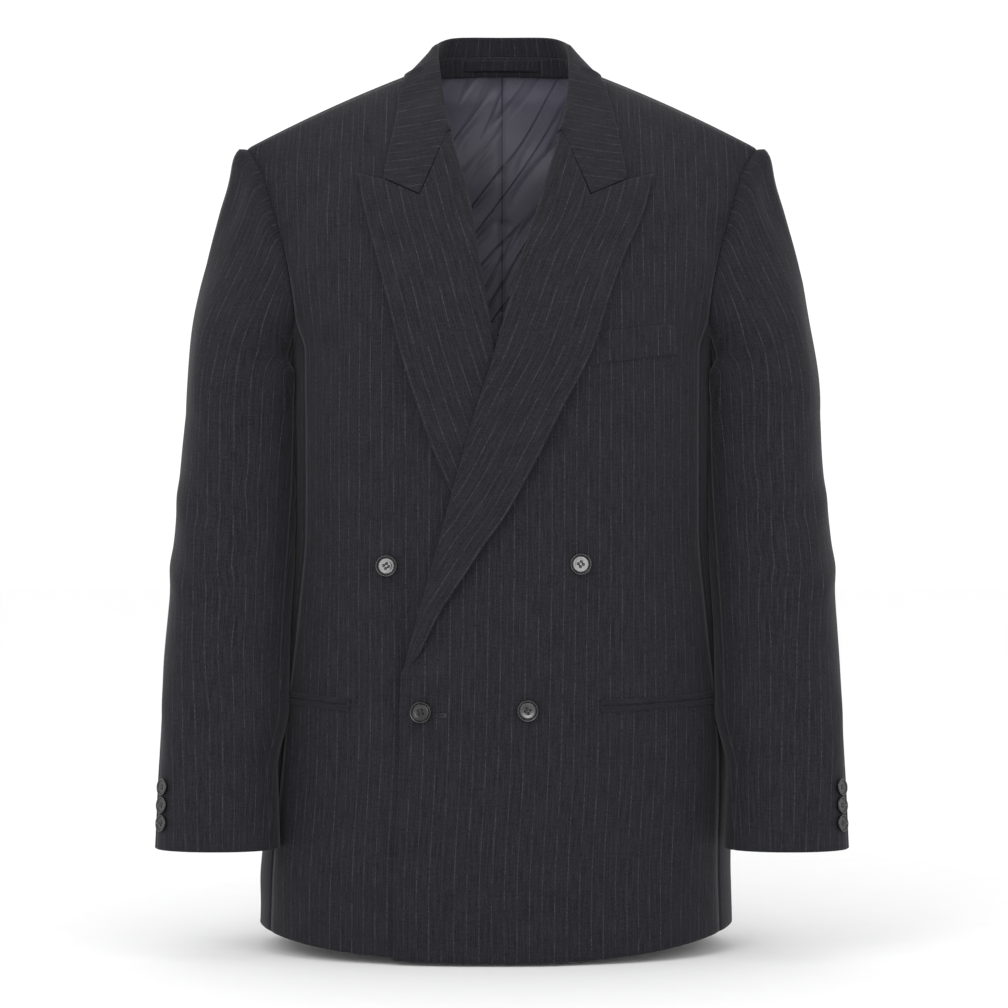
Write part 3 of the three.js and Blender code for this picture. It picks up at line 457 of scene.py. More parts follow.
# %% The woven wool group
STRIPE_PITCH = 0.011
wool_tree = bpy.data.node_groups.new("wool weave", "ShaderNodeTree")
for way, label, kind in (("INPUT", "Place", VECTOR), ("INPUT", "Stripe", VALUE),
                         ("OUTPUT", "Color", COLOUR), ("OUTPUT", "Roughness", VALUE),
                         ("OUTPUT", "Height", VALUE)):
    wool_tree.interface.new_socket(label, in_out=way, socket_type=kind)
wool_in, wool_out = (wool_tree.nodes.new("NodeGroup" + way) for way in ("Input", "Output"))
weave = Graph(wool_tree)
place = wool_in.outputs["Place"]
across, along = weave.split(place)[:2]
ends = weave.noise(place, 1.0, 1.0, spread=(2600, 260, 1))
picks = weave.noise(place, 1.0, 1.0, spread=(300, 2200, 1))
slub = weave.noise(place, 1.0, 3.0, spread=(420, 60, 1))
heather = weave.noise(place, 1.0, 3.0, 0.7, (900, 420, 1))
streak = weave.noise(place, 1.0, 2.0, 0.7, (950, 38, 1))
cross = weave.noise(place, 1.0, 2.0, 0.6, (60, 900, 1))
mottle = weave.noise(place, 38.0, 4.0, 0.6)
twill = weave.math("SINE", weave.times(weave.add(across, along), 3300.0))
yarn = weave.add(weave.times(ends, 0.5), weave.times(picks, 0.5))
shade = weave.add(*(weave.limits(*part) for part in (
    (yarn, 0.32, 0.68, -0.18, 0.2), (mottle, 0.3, 0.7, -0.08, 0.08),
    (slub, 0.3, 0.7, -0.07, 0.07), (heather, 0.3, 0.7, -0.34, 0.42),
    (streak, 0.32, 0.68, -0.3, 0.42), (cross, 0.32, 0.68, -0.12, 0.16))))
count = weave.math("DIVIDE", across, STRIPE_PITCH)
offset = weave.math("ABSOLUTE", weave.math("SUBTRACT", weave.math("FRACT", count), 0.5))
line = weave.add(weave.limits(offset, 0.026, 0.06, 1.0, 0.0),
                 weave.limits(offset, 0.45, 0.48, 0.0, 0.3))
dots = weave.limits(weave.noise(place, 1.0, 3.0, 0.7, (130, 480, 1)), 0.34, 0.64, 0.1, 1.0)
worn = weave.limits(weave.noise(place, 1.0, 3.0, 0.6, (90, 45, 1)), 0.34, 0.64, 0.2, 1.0)
mask = weave.times(weave.times(line, dots), weave.times(worn, wool_in.outputs["Stripe"]))
dark = weave.blend(weave.add(0.5, shade), tint(0.0055, 0.0055, 0.007),
                   tint(0.0156, 0.0156, 0.0199))
weave.put(wool_out, "Color", weave.blend(mask, dark, tint(0.0375, 0.0375, 0.0465)))
weave.put(wool_out, "Roughness", weave.limits(yarn, 0.3, 0.7, 0.78, 0.95))
weave.put(wool_out, "Height", weave.add(weave.times(twill, 0.25), yarn, mask))
print("wool group sockets:", [s.name for s in wool_tree.interface.items_tree])

# %% Making the materials


def material(name, **constants):
    """Material with one Principled shader; constants are set on its own sockets."""
    look = bpy.data.materials.new(name)
    look.use_nodes = True
    shader = look.node_tree.nodes["Principled BSDF"]
    for socket, value in constants.items():
        shader.inputs[socket.replace("_", " ")].default_value = value
    return look, Graph(look.node_tree), shader


def bump(graph, shader, height, strength, distance):
    """Bump from a height in metres on the shader's normal."""
    raised = graph.node("Bump", {"Strength": strength, "Distance": distance, "Height": height})
    graph.put(shader, "Normal", raised.outputs[0])


def wool(name, stripe):
    """Worsted suiting; stripe is how strongly the pale ends show."""
    look, graph, shader = material(name, Sheen_Weight=0.07, Sheen_Roughness=0.45,
                                   Specular_IOR_Level=0.16)
    cloth_node = graph.node("Group", {}, node_tree=wool_tree)
    graph.put(cloth_node, "Place", graph.uv_place())
    graph.put(cloth_node, "Stripe", stripe)
    graph.put(shader, "Base Color", cloth_node.outputs["Color"])
    graph.put(shader, "Roughness", cloth_node.outputs["Roughness"])
    bump(graph, shader, cloth_node.outputs["Height"], 0.55, 0.0002)
    return look


WOOL = wool("charcoal pinstripe wool", 1.0)
PLAIN_WOOL = wool("charcoal wool without stripes", 0.0)

# %% [markdown]
# The lining is a closely woven satin that shines along its threads. Its fine creases run aslant,
# too small to model, so a noise drawn out along them dents the surface and paints shade into the
# colour along the crease lines, and a thin dark line marks the centre seam.

# %% Lining satin with slanted creases
SATIN, satin, shader = material("lining satin", Roughness=0.5, Sheen_Weight=0.1,
                                Sheen_Roughness=0.3, Specular_IOR_Level=0.3)
flat_place = satin.uv_place()
across, along = satin.split(flat_place)[:2]
slant = satin.math("SUBTRACT", satin.times(across, 0.84), satin.times(along, 0.54))
run_up = satin.add(satin.times(across, 0.54), satin.times(along, 0.84))
bias = satin.node("CombineXYZ", (satin.times(slant, 44.0), satin.times(run_up, 4.5)))
level = satin.noise(bias.outputs[0], 1.0, 1.0, 0.4)
crease_shade_and_dent = satin.math("ABSOLUTE", satin.math("SUBTRACT", level, 0.5))
centre_seam = satin.limits(satin.math("ABSOLUTE", across), 0.0004, 0.0011, 0.25, 1.0)
fill = satin.noise(flat_place, 1.0, 2.0, spread=(180, 3000, 1))
cloud = satin.noise(flat_place, 20.0, 3.0)
tone = satin.add(satin.times(fill, 0.5), satin.times(cloud, 0.5))
colour = satin.blend(satin.limits(tone, 0.3, 0.7, 0.0, 1.0), tint(0.082, 0.079, 0.104),
                     tint(0.118, 0.113, 0.148))
# painted shade: the satin colour goes near black along the crease lines, where the creases would
# be shaded
colour = satin.blend(satin.limits(crease_shade_and_dent, 0.0, 0.03, 0.62, 1.0), tint(0.03, 0.028, 0.038), colour)
satin.put(shader, "Base Color", satin.blend(centre_seam, tint(0.012, 0.011, 0.016), colour))
bump(satin, shader, satin.add(satin.limits(crease_shade_and_dent, 0.0, 0.06, 0.0, 1.0), satin.times(fill, 0.05)),
     0.9, 0.0012)

# %% [markdown]
# The buttons are polished resin with a faint marbling. The sewing threads are plain dark yarn, a
# little paler on one ply than the other.

# %% Button gloss and sewing threads
HORN, horn, shader = material("dark button gloss", Roughness=0.15, Coat_Weight=0.3,
                              Coat_Roughness=0.06, Specular_IOR_Level=0.4)
marble = horn.noise(horn.object_place(), 1.0, 4.0, 0.6, (160, 160, 60))
horn.put(shader, "Base Color", horn.blend(horn.limits(marble, 0.42, 0.68, 0.0, 1.0),
                                          tint(0.0014, 0.0015, 0.002),
                                          tint(0.008, 0.0078, 0.0095)))
horn.put(shader, "Roughness", horn.limits(marble, 0.3, 0.7, 0.1, 0.22))


def thread_look(name, dark, pale):
    """Sewing thread twisted from a dark and a pale yarn."""
    look, graph, shader = material(name, Sheen_Weight=0.15)
    twist = graph.noise(graph.object_place(), 1800.0, 2.0)
    graph.put(shader, "Base Color", graph.blend(twist, dark, pale))
    graph.put(shader, "Roughness", graph.limits(twist, 0.3, 0.7, 0.55, 0.8))
    return look


THREAD = thread_look("sewing thread", tint(0.006, 0.006, 0.0075), tint(0.015, 0.015, 0.018))
CORD = thread_look("button thread", tint(0.008, 0.008, 0.01), tint(0.02, 0.02, 0.024))
print("materials:", [m.name for m in bpy.data.materials])

# %% [markdown]
# The fronts carry the whole look. On the real jacket each front is one piece of wool fused to
# canvas and pressed over the chest, with a dart under the breast pocket. The left front laps
# over the right, so it lies a few millimetres further out along the overlap.

# %% Fronts
FRONT_ROWS = np.array([
    [-800, -800], [-765, -765], [-725, -725], [-685, -685], [-640, -640], [-595, -595],
    [-546, -546], [-541, -541], [-500, -498], [-455, -452], [-410, -405], [-362, -355],
    [-314, -310], [-264, -268], [-222, -235], [-180, -205], [-129, -175], [-96, -148],
    [-66, -123], [-58, -115], [-50, -108], [-35, -97], [-22, -88], [-12, -81], [-5, -76.5],
    [1.2, -72]], float)
FOLD_R, FOLD_ROOM, GORGE_ROOM, NECK_ROOM, STAND_ROOM = 2.7, 4.4, 1.8, 3.2, 3.3
FRONT_EDGE = 64.0
FRONT_WIDTH, SIDE_WIDTH, BACK_WIDTH, SIDE_LENGTH = 262, 88, 250, 540
CLOTH = 1.7
HALF_STRIPE = STRIPE_PITCH / 2


def neck_shift(z):
    """The neck seam leans with the middle of the overlap below the collar."""
    return closure(z) * np.clip((5 - z) / 45, 0, 1)


def front_edge(z, hand):
    """Inner edge of a front: the cut edge, then the roll line, then the neck seam."""
    corner = GORGE_ROOM * smooth((z + 92) / 26)
    cut = closure(z) - hand * FRONT_EDGE
    roll = closure(z) + hand * (roll_width(z) + FOLD_ROOM + corner)
    room = mix(FOLD_ROOM + corner, NECK_ROOM, np.clip((z - GORGE_Z) / 26, 0, 1))
    neck = hand * (read(NECK_FRONT, z) + room) + neck_shift(z)
    low = mix(cut, roll, np.clip((z - BREAK_Z) / 5, 0, 1))
    return np.where(z <= GORGE_Z, low, neck)


def row_pair(rows, size):
    """Inner and outer heights of a panel's rows, about one size apart, with the row numbers."""
    k = steps_along(rows.mean(1), size)
    index = np.arange(len(rows))
    return k, np.interp(k, index, rows[:, 0]), np.interp(k, index, rows[:, 1])


def front_places(hand, u):
    """x and z of a front's grid: rows run from the hem up and fan on to the shoulder seam."""
    k, z_in, z_out = row_pair(FRONT_ROWS, GRAIN)
    top = len(FRONT_ROWS) - 1
    hem = HEM_Z if hand > 0 else mix(UNDER_HEM_Z, HEM_Z, smooth((u - 0.3) / 0.7))
    z_in, z_out = np.maximum(z_in, HEM_Z)[:, None], np.maximum(z_out, HEM_Z)[:, None]
    side = seam_x(SIDE_FRONT, z_out)
    arm = read(ARMHOLE_FRONT, z_out)
    x = mix(front_edge(z_in, hand), hand * (np.where(z_out < -235, side, arm) - SEAM), u)
    rise = smooth((k[:, None] - (top - 8)) / 8)
    straight = mix(FRONT_ROWS[top, 0], FRONT_ROWS[top, 1], u)
    arch = (shoulder_z(mix(NECK_X, SHOULDER_X, u)) - straight) * rise
    return x, np.maximum(mix(z_in, z_out, u), hem) + arch


FRONT_FOLDS = [
    (118, -250, 128, -560, 15, 1.4), (165, -235, 172, -520, 12, -1.6),
    (92, -470, 150, -610, 20, 1.0), (60, -600, 95, -770, 22, 1.6),
    (135, -590, 150, -790, 20, -1.5), (182, -560, 186, -795, 14, 1.6),
    (30, -480, 120, -440, 22, 0.9), (130, -110, 196, -215, 12, 1.8),
    (160, -100, 205, -180, 8, -1.2), (60, -540, 140, -500, 16, -0.8)]


def front_relief(hand, x, z):
    """Height of the folds on a front; none at its seams or where the fronts overlap."""
    s = hand * (x - closure(z) * 0.4)
    relief = folds(s, z, FRONT_FOLDS) + 0.5 * waves(s, z, 11 + hand, 120)
    dart = -1.0 * bell((s - 114) / 3.2) * smooth((z + 700) / 40) * smooth((-530 - z) / 20)
    dart = dart - 0.8 * bell((s - 114 + (z + 540) * 0.02) / 2.4) * smooth(
        (z + 566) / 30) * smooth((-300 - z) / 60)
    dip = 0.0 if hand > 0 else -4.0 * bell((s - 74) / 12) * smooth(
        (z + 640) / 60) * smooth((-330 - z) / 60)
    side = np.clip((torso(z, "side") * 0.93 - s) / 14, 0, 1)
    clear = smooth((s - 66) / 40) if hand < 0 else smooth((s - 20) / 60) * 0.85 + 0.15
    return (relief * clear + dart * 0.7 + dip) * smooth(side) * smooth((-84 - z) / 45)


def seam_dip(u, width):
    """A sewn edge sinks by 0.7 mm over its last few millimetres."""
    return -0.7 * np.exp(-(1 - u) * width / 2.5)


def stripe_run(x, outer, hand, origin):
    """Running width in metres, set so that one upright thread line stays at the origin."""
    across = lengths(outer, 1)
    middle = np.array([np.interp(origin, hand * row, run) for row, run in zip(x, across)])
    return hand * (across - middle[:, None] + origin * MM)


def lie(hand, x, z):
    """How far a front's cloth lies off the body surface: the overlap and its own folds."""
    return stack(x, z, hand) + front_relief(hand, x, z)


for side, hand in SIDES:
    x, z = front_places(hand, shares(FRONT_WIDTH)[None, :])
    lift = lie(hand, x, z) + seam_dip(shares(FRONT_WIDTH), FRONT_WIDTH)
    outer, inner = hung(on_body(x, z, lift)), hung(on_body(x, z, lift - CLOTH))
    run = stripe_run(x, outer, hand, 118.0)
    uv = np.stack([run, z * MM], -1)
    cloth(f"front {side}", outer, inner, uv)

# %% [markdown]
# The side panel is a narrow piece under the arm. It has no stripe at the seams to match, but it
# takes the body in at the waist. It stops at the underarm in a shallow scoop.

# %% Side panels


def side_point(phi, z, hand):
    """Point of the ring at an angle, draped as the fronts and backs are."""
    s, c = np.sin(np.radians(phi)), np.cos(np.radians(phi))
    p = 2 / POWER
    depth = np.where(c > 0, torso(z, "front"), torso(z, "back"))
    x, face = torso(z, "side") * np.abs(s) ** p, np.abs(c) ** p
    ring = -np.sign(c) * depth * face
    y = np.where(phi > 90, drape(x, z, ring, face, True), drape(x, z, ring, face, False))
    return np.stack([hand * x, y, z + 0 * x], -1)


def on_side(phi, z, hand, height):
    """Point of the side moved out along its normal."""
    across = side_point(phi + 0.2, z, hand) - side_point(phi - 0.2, z, hand)
    down = side_point(phi, z, hand) - side_point(phi, z - 0.4, hand)
    n = unit(np.cross(across, down))
    n *= np.where(n[..., :1] * hand < 0, -1, 1)
    return side_point(phi, z, hand) + n * np.asarray(height)[..., None]


def underarm_z(phi):
    """Top of the side panel: lowest below the arm."""
    return UNDERARM_Z + 27 * ((phi - 90) / 22) ** 2


for side, hand in SIDES:
    u = shares(SIDE_WIDTH)[None, :]
    v = shares(SIDE_LENGTH)[:, None]
    phi = mix(SIDE_FRONT + 0.03, SIDE_BACK - 0.03, u) + 0 * v
    z = mix(HEM_Z, underarm_z(phi), v)
    edge = np.sin(np.pi * u)
    s = (phi - 90) * 3.2
    lift = edge * (0.9 * waves(s, z, 23 + hand, 110) + folds(s, z, [
        (-30, -300, 20, -380, 12, 1.6), (25, -330, -20, -430, 12, -1.5),
        (-20, -460, 15, -780, 14, 2.0), (30, -520, 34, -790, 10, -1.6)]))
    lift = lift * 0.8 + edge * 2.2 * smooth((z + 640) / 120)
    lift = lift + seam_dip(u, SIDE_WIDTH) + seam_dip(1 - u, SIDE_WIDTH)
    outer, inner = hung(on_side(phi, z, hand, lift)), hung(on_side(phi, z, hand, lift - CLOTH))
    uv = np.stack([lengths(outer, 1), z * MM], -1)
    cloth(f"side {side}", outer, inner, uv)

# %% [markdown]
# The back is two halves joined by the centre seam. It is cut straighter than the fronts, lies
# flat over the shoulder blades, and falls from them in long soft folds with no vent.

# %% Backs
BACK_ROWS = np.array([
    [-800, -800], [-750, -750], [-690, -690], [-630, -630], [-570, -570], [-510, -510],
    [-450, -450], [-390, -390], [-330, -330], [-270, -275], [-215, -227], [-165, -195],
    [-120, -160], [-82, -130], [-52, -108], [-30, -92], [-14, -82], [-3, -76], [9, -72]], float)


def back_places(u, size, lowest=-801):
    """x and z of half a back's grid at shares u from the middle to the side."""
    k, z_in, z_out = row_pair(BACK_ROWS, size)
    keep = z_in > lowest
    k, z_in, z_out = k[keep][:, None], z_in[keep][:, None], z_out[keep][:, None]
    top = len(BACK_ROWS) - 1
    side = seam_x(SIDE_BACK, z_out)
    arm = read(ARMHOLE_BACK, z_out)
    x = mix(SEAM / 2, np.where(z_out < -227, side, arm) - SEAM, u)
    rise = smooth((k - (top - 7)) / 7)
    straight = mix(BACK_ROWS[top, 0], BACK_ROWS[top, 1], u)
    room = 0.8 * np.clip((NECK_X + 5 - x) / 5, 0, 1) * np.clip(k - top + 1, 0, 1)
    return x, mix(z_in, z_out, u) + (top_line(x, True)[0] - straight) * rise - room


BACK_FOLDS = [
    (18, -420, 26, -800, 16, 1.6), (62, -380, 74, -800, 18, -2.0),
    (108, -360, 120, -790, 16, 2.2), (150, -330, 158, -780, 13, -1.6),
    (30, -330, 130, -400, 14, 1.4), (40, -370, 120, -440, 12, -1.2),
    (120, -120, 185, -230, 14, 1.8), (95, -150, 165, -250, 12, -1.2),
    (20, -120, 110, -150, 20, 0.8)]

for side, hand in SIDES:
    u = shares(BACK_WIDTH)
    x, z = back_places(u[None, :], GRAIN)
    edge = smooth(x / 30) * smooth((torso(z, "side") * 0.9 - x) / 16) * smooth(
        (top_line(x, True)[0] - z - 8) / 40)
    lift = edge * (folds(x, z, BACK_FOLDS) + 0.7 * waves(x, z, 31 + hand, 130))
    lift = lift + seam_dip(u, 200) + seam_dip(1 - x / 200, 200)
    outer = hung(on_body(hand * x, z, lift, back=True))
    inner = hung(on_body(hand * x, z, lift - CLOTH, back=True))
    uv = np.stack([hand * (lengths(outer, 1) + HALF_STRIPE), z * MM], -1)
    cloth(f"back {side}", outer, inner, uv)

# %% [markdown]
# Inside the neck the satin lining of the back shows. It is cut looser than the wool so it never
# pulls, and the spare width settles into fine diagonal creases beside a dark centre seam.

# %% Lining behind the neck opening
LINING_FOLDS = [
    (-62, -128, -14, -48, 3.6, 1.7), (-70, -178, -6, -84, 3.4, 2.2),
    (-66, -210, -3, -112, 3.6, 2.3), (-52, -232, -2, -150, 3.4, 2.2),
    (-64, -300, -2, -188, 3.8, 2.1), (-48, -330, -2, -240, 3.6, 1.8),
    (3, -128, 60, -36, 3.8, 2.0), (2, -176, 66, -72, 3.6, 1.8), (2, -212, 74, -108, 3.6, 2.1),
    (4, -262, 62, -170, 3.8, 1.7), (3, -300, 58, -214, 3.6, 1.9), (4, -360, 54, -270, 3.8, 1.6),
    (14, -92, 34, -38, 3.2, 1.2), (-44, -70, -22, -24, 3.4, 1.3), (-30, -96, -6, -62, 3.0, 1.4)]
u = np.linspace(0, 0.9, int(round(200 / (GRAIN * 0.5))) + 1)[None, :]
half_x, half_z = back_places(u, GRAIN * 0.5, -450)
under = 0.2 + 5 * smooth((half_x - 60) / 20)
half_z = np.minimum(half_z, top_line(half_x, True)[0] - under)
x = np.concatenate([-half_x[:, :0:-1], half_x], 1)
x[:, half_x.shape[1] - 1] = 0.001
z = np.concatenate([half_z[:, :0:-1], half_z], 1)
below = top_line(np.abs(x), True)[0] - z
fade = smooth((below - 3) / 22) * smooth((170 - np.abs(x)) / 30) * smooth((z + 450) / 20)
pucker = 1.6 * np.exp(-((x - 0.5) / 7) ** 2 - ((z + 131) / 5) ** 2)
puff = 4.4 + 0.8 * waves(x, z, 47, 55) - folds(x, z, LINING_FOLDS) - pucker
groove = 1.5 * np.exp(-np.abs(x / 2.6) ** 1.5) * smooth(below / 10)
depth = -2.2 - fade * np.maximum(puff, 0.4) + groove * fade
outer = on_body(x, z, depth, back=True)
inner = on_body(x, z, depth - 0.7, back=True)
uv = np.stack([x * MM, z * MM], -1)
cloth("back lining", outer, inner, uv, SATIN,
      "lining_satin")

# %% [markdown]
# A tailored sleeve is two pieces, a wide top sleeve and a narrow under sleeve, bent forward at
# the elbow. The cap is gathered into the armhole, so its rows start on the armhole seam itself
# and open out to the round of the upper arm.

# %% Sleeves
SLEEVE = columns([
    (-709, 253.3, 55.9, 40, -88), (-645, 253.8, 53.4, 45, -76), (-577, 254, 51.3, 50, -63),
    (-378, 244.6, 50, 62, -20), (-318, 242, 48, 66, -10)], "z x wide deep y")
CUFF_Z, CAP_Z, CAP_SHARE, FRONT_SEAM = -705.5, -318.0, 0.4, 150.0


def path_reader(path):
    """Length of a path, and a function that gives its points at running lengths."""
    run = np.concatenate([[0], np.cumsum(np.linalg.norm(np.diff(path, axis=0), axis=1))])
    return run[-1], lambda at: np.stack([np.interp(at, run, path[:, i]) for i in range(3)], -1)


def armhole_loop(hand):
    """Closed path round the armhole: shoulder, front, underarm, back, shoulder."""
    z = mix(SHOULDER_Z, -235, np.linspace(0, 1, 31))
    front = on_body(hand * read(ARMHOLE_FRONT, z), z, 0 * z)
    front[:, 1] += SEAM
    phi = mix(SIDE_FRONT, SIDE_BACK, np.linspace(0, 1, 17)[1:])
    under = on_side(phi, underarm_z(phi), hand, 0 * phi)
    z = mix(-227, SHOULDER_Z, np.linspace(0, 1, 31)[1:])
    back = on_body(hand * read(ARMHOLE_BACK, z), z, 0 * z, back=True)
    back[:, 1] -= SEAM
    path = np.concatenate([front, under, back])
    length, read_at = path_reader(path)
    return lambda share: read_at(np.mod(share, 1) * length)


def sleeve_ring(psi, z, hand):
    """Ring round the arm: 0 outward, 90 forward, 180 inward, 270 back."""
    c, s = np.cos(np.radians(psi)), np.sin(np.radians(psi))
    p = 2 / 2.1
    x = read(SLEEVE, z) + np.sign(c) * np.abs(c) ** p * read(SLEEVE, z, "wide")
    y = read(SLEEVE, z, "y") - np.sign(s) * np.abs(s) ** p * read(SLEEVE, z, "deep")
    return np.stack([hand * x, y, z + 0 * x], -1)


def sleeve_point(loop, hand, psi, v):
    """Point of a sleeve: v 0 the armhole, 0.4 the foot of the cap, 1 the cuff."""
    z = mix(CAP_Z, CUFF_Z, np.clip((v - CAP_SHARE) / (1 - CAP_SHARE), 0, 1))
    ring = sleeve_ring(psi, z, hand)
    t = np.clip(v / CAP_SHARE, 0, 1)[..., None]
    start = loop(psi / 360)
    start[..., 0] += hand * 0.5
    w = 1 - (1 - t) ** 2
    cap = mix(start, ring, np.concatenate([w, w, t], -1))
    return np.where(t < 1, cap, ring)


def hind_seam(v):
    """Angle of the back seam: behind the arm above, round to the outside at the cuff."""
    return mix(-60, 15, smooth(v))


SLEEVE_FOLDS = [
    (20, -190, 60, -330, 16, 2.0), (60, -150, 110, -300, 16, 2.2),
    (100, -230, 150, -330, 13, -1.6), (0, -380, 70, -430, 15, 2.4),
    (30, -420, 110, -400, 13, -2.0), (-20, -450, 70, -480, 14, 2.2),
    (60, -470, 140, -440, 12, 2.0), (90, -380, 150, -410, 11, 2.0),
    (95, -520, 150, -480, 12, -1.8), (0, -560, 60, -640, 18, 1.8),
    (70, -560, 110, -660, 14, -1.6), (100, -350, 40, -520, 20, 1.6),
    (200, -300, 260, -420, 18, 2.2), (180, -420, 250, -400, 14, 2.0),
    (230, -440, 190, -560, 18, -2.0), (290, -300, 300, -500, 20, 1.8),
    (270, -520, 280, -680, 18, 1.6)]


def sleeve_relief(psi, z, v, hand):
    """Folds of the bent elbow and slow waves; none at the armhole, seams or cuff edge."""
    relief = folds(psi, z, SLEEVE_FOLDS) + waves(psi, z, 61 + hand, 120)
    ease = 0.9 * np.sin(np.radians(psi) * 11 + 1) * bell((v - 0.05) / 0.05)
    ease = ease * smooth((np.cos(np.radians(psi - 5)) + 0.1) / 0.7) * smooth(v / 0.02)
    inner_side = 1 - 0.75 * smooth((-np.cos(np.radians(psi)) - 0.5) / 0.4)
    head = 4.2 * (v / 0.022) * np.exp(1 - v / 0.022) * smooth(
        (np.cos(np.radians(psi)) + 0.15) / 0.6)
    return (relief * smooth((v - 0.06) / 0.2) * smooth((1.04 - v) / 0.15) * inner_side + ease
            + head)


def to_body(points, hand):
    """How far a sleeve point stands off the jacket's side, measured sideways."""
    z = points[..., 2]
    y = points[..., 1] - torso(z, "sway")
    deep = np.where(y < 0, torso(z, "front"), torso(z, "back"))
    share = np.clip(np.abs(y) / deep, 0, 1) ** POWER
    return hand * points[..., 0] - torso(z, "side") * (1 - share) ** (1 / POWER)


def upright_run(outer, loop, hand, psi, line):
    """Distance round the arm from an upright thread line: the arc that belongs to the chord."""
    v = np.linspace(0.02, 1, 90)
    thread = sleeve_point(loop, hand, line + 0 * v, v)
    at_x, at_y = (np.interp(-outer[..., 2], -thread[:, 2], thread[:, i]) for i in (0, 1))
    chord = np.hypot(outer[..., 0] - at_x, outer[..., 1] - at_y)
    arc = 2 * ARM_RADIUS * np.arcsin(np.minimum(chord / (2 * ARM_RADIUS), 1))
    return np.sign(psi - line) * arc * MM


ARM_RADIUS, ARM_WIDTH, ARM_LENGTH = 56.0, 172, 600
LOOPS = {1: armhole_loop(1), -1: armhole_loop(-1)}
for side, hand in SIDES:
    for part, under in (("top", False), ("under", True)):
        v = np.concatenate([[0, 0.0035, 0.007], np.linspace(0.0125, 0.05, 7)[:-1],
                            np.linspace(0.05, 1, shares(ARM_LENGTH).size)])[:, None]
        u = shares(ARM_WIDTH)[None, :]
        first = FRONT_SEAM + 0.25 if under else hind_seam(v) + 0.25
        last = 360 + hind_seam(v) - 0.25 if under else FRONT_SEAM - 0.25 + 0 * v
        psi = mix(first, last, u)
        v = v + 0 * psi
        loop = LOOPS[hand]
        base = sleeve_point(loop, hand, psi, v)
        n = np.cross(sleeve_point(loop, hand, psi + 1, v) - sleeve_point(loop, hand, psi - 1, v),
                     sleeve_point(loop, hand, psi, np.minimum(v + 0.008, 1))
                     - sleeve_point(loop, hand, psi, np.maximum(v - 0.008, 0))) * hand
        n = unit(n)
        seam = smooth(np.minimum(u, 1 - u) / 0.1) * 0.75 + 0.25
        lift = sleeve_relief(psi, base[..., 2], v, hand) * seam
        dip = -0.5 * np.exp(-np.minimum(u, 1 - u) / 0.012)
        wall = mix(0.9, CLOTH, np.clip(v / 0.05, 0, 1))
        room = np.clip(to_body(base, hand) - 3.2, 0, 12)
        inward = smooth((-np.cos(np.radians(psi)) - 0.15) / 0.5) * smooth(
            (-262 - base[..., 2]) / 22) * smooth((base[..., 2] + 640) / 60)
        base[..., 0] -= hand * room * inward
        lift = lift * (1 - 0.8 * inward)
        outer_side = smooth((np.cos(np.radians(psi)) + 0.1) / 0.6)
        push = 5.0 * bell((v - 0.014) / 0.03) * outer_side
        tuck = (1 - smooth(v / 0.006))[..., None]
        base = base + push[..., None] * (1 - tuck) * np.array([hand * 0.8, 0, 1.0])
        base = base - tuck * (n * 2.4 + np.array([hand * 2.6, 0, 0]))
        outer = base + n * (lift + dip)[..., None]
        inner = base + n * (lift + dip - wall)[..., None]
        run = upright_run(outer, loop, hand, psi, 250.0 if under else 0.0)
        uv = np.stack([run, outer[..., 2] * MM], -1)
        cloth(f"sleeve {part} {side}", outer, inner, uv)

# %% [markdown]
# The lapel is the facing side of the front, rolled over at the roll line and pressed. The roll
# has a soft round, and the cloth lies off the chest with a little belly. Its stripes follow the
# outer edge, so the UV map measures across from that edge.

# %% Lapels
GORGE_X = 48.0
NOTCH, COLLAR_TIP, PEAK = (75.2, -126.2), (107.4, -111.2), (131.5, -104.0)
LAPEL_FOOT, GORGE_SHARES = -549.0, [0, 0.46, 0.76, 1]


def gorge_path(f):
    """Top edge of a lapel from the fold: gorge seam, notch, collar corner, peak."""
    x = np.interp(f, GORGE_SHARES, [GORGE_X + FOLD_R, NOTCH[0], COLLAR_TIP[0], PEAK[0]])
    z = np.interp(f, GORGE_SHARES, [GORGE_Z, NOTCH[1], COLLAR_TIP[1], PEAK[1]])
    return x, z


def lapel_point(hand, x, z, height):
    """Place on a front at a distance x from the middle of the overlap."""
    at = closure(z) + hand * x
    return on_body(at, z, stack(at, z, hand) + height)


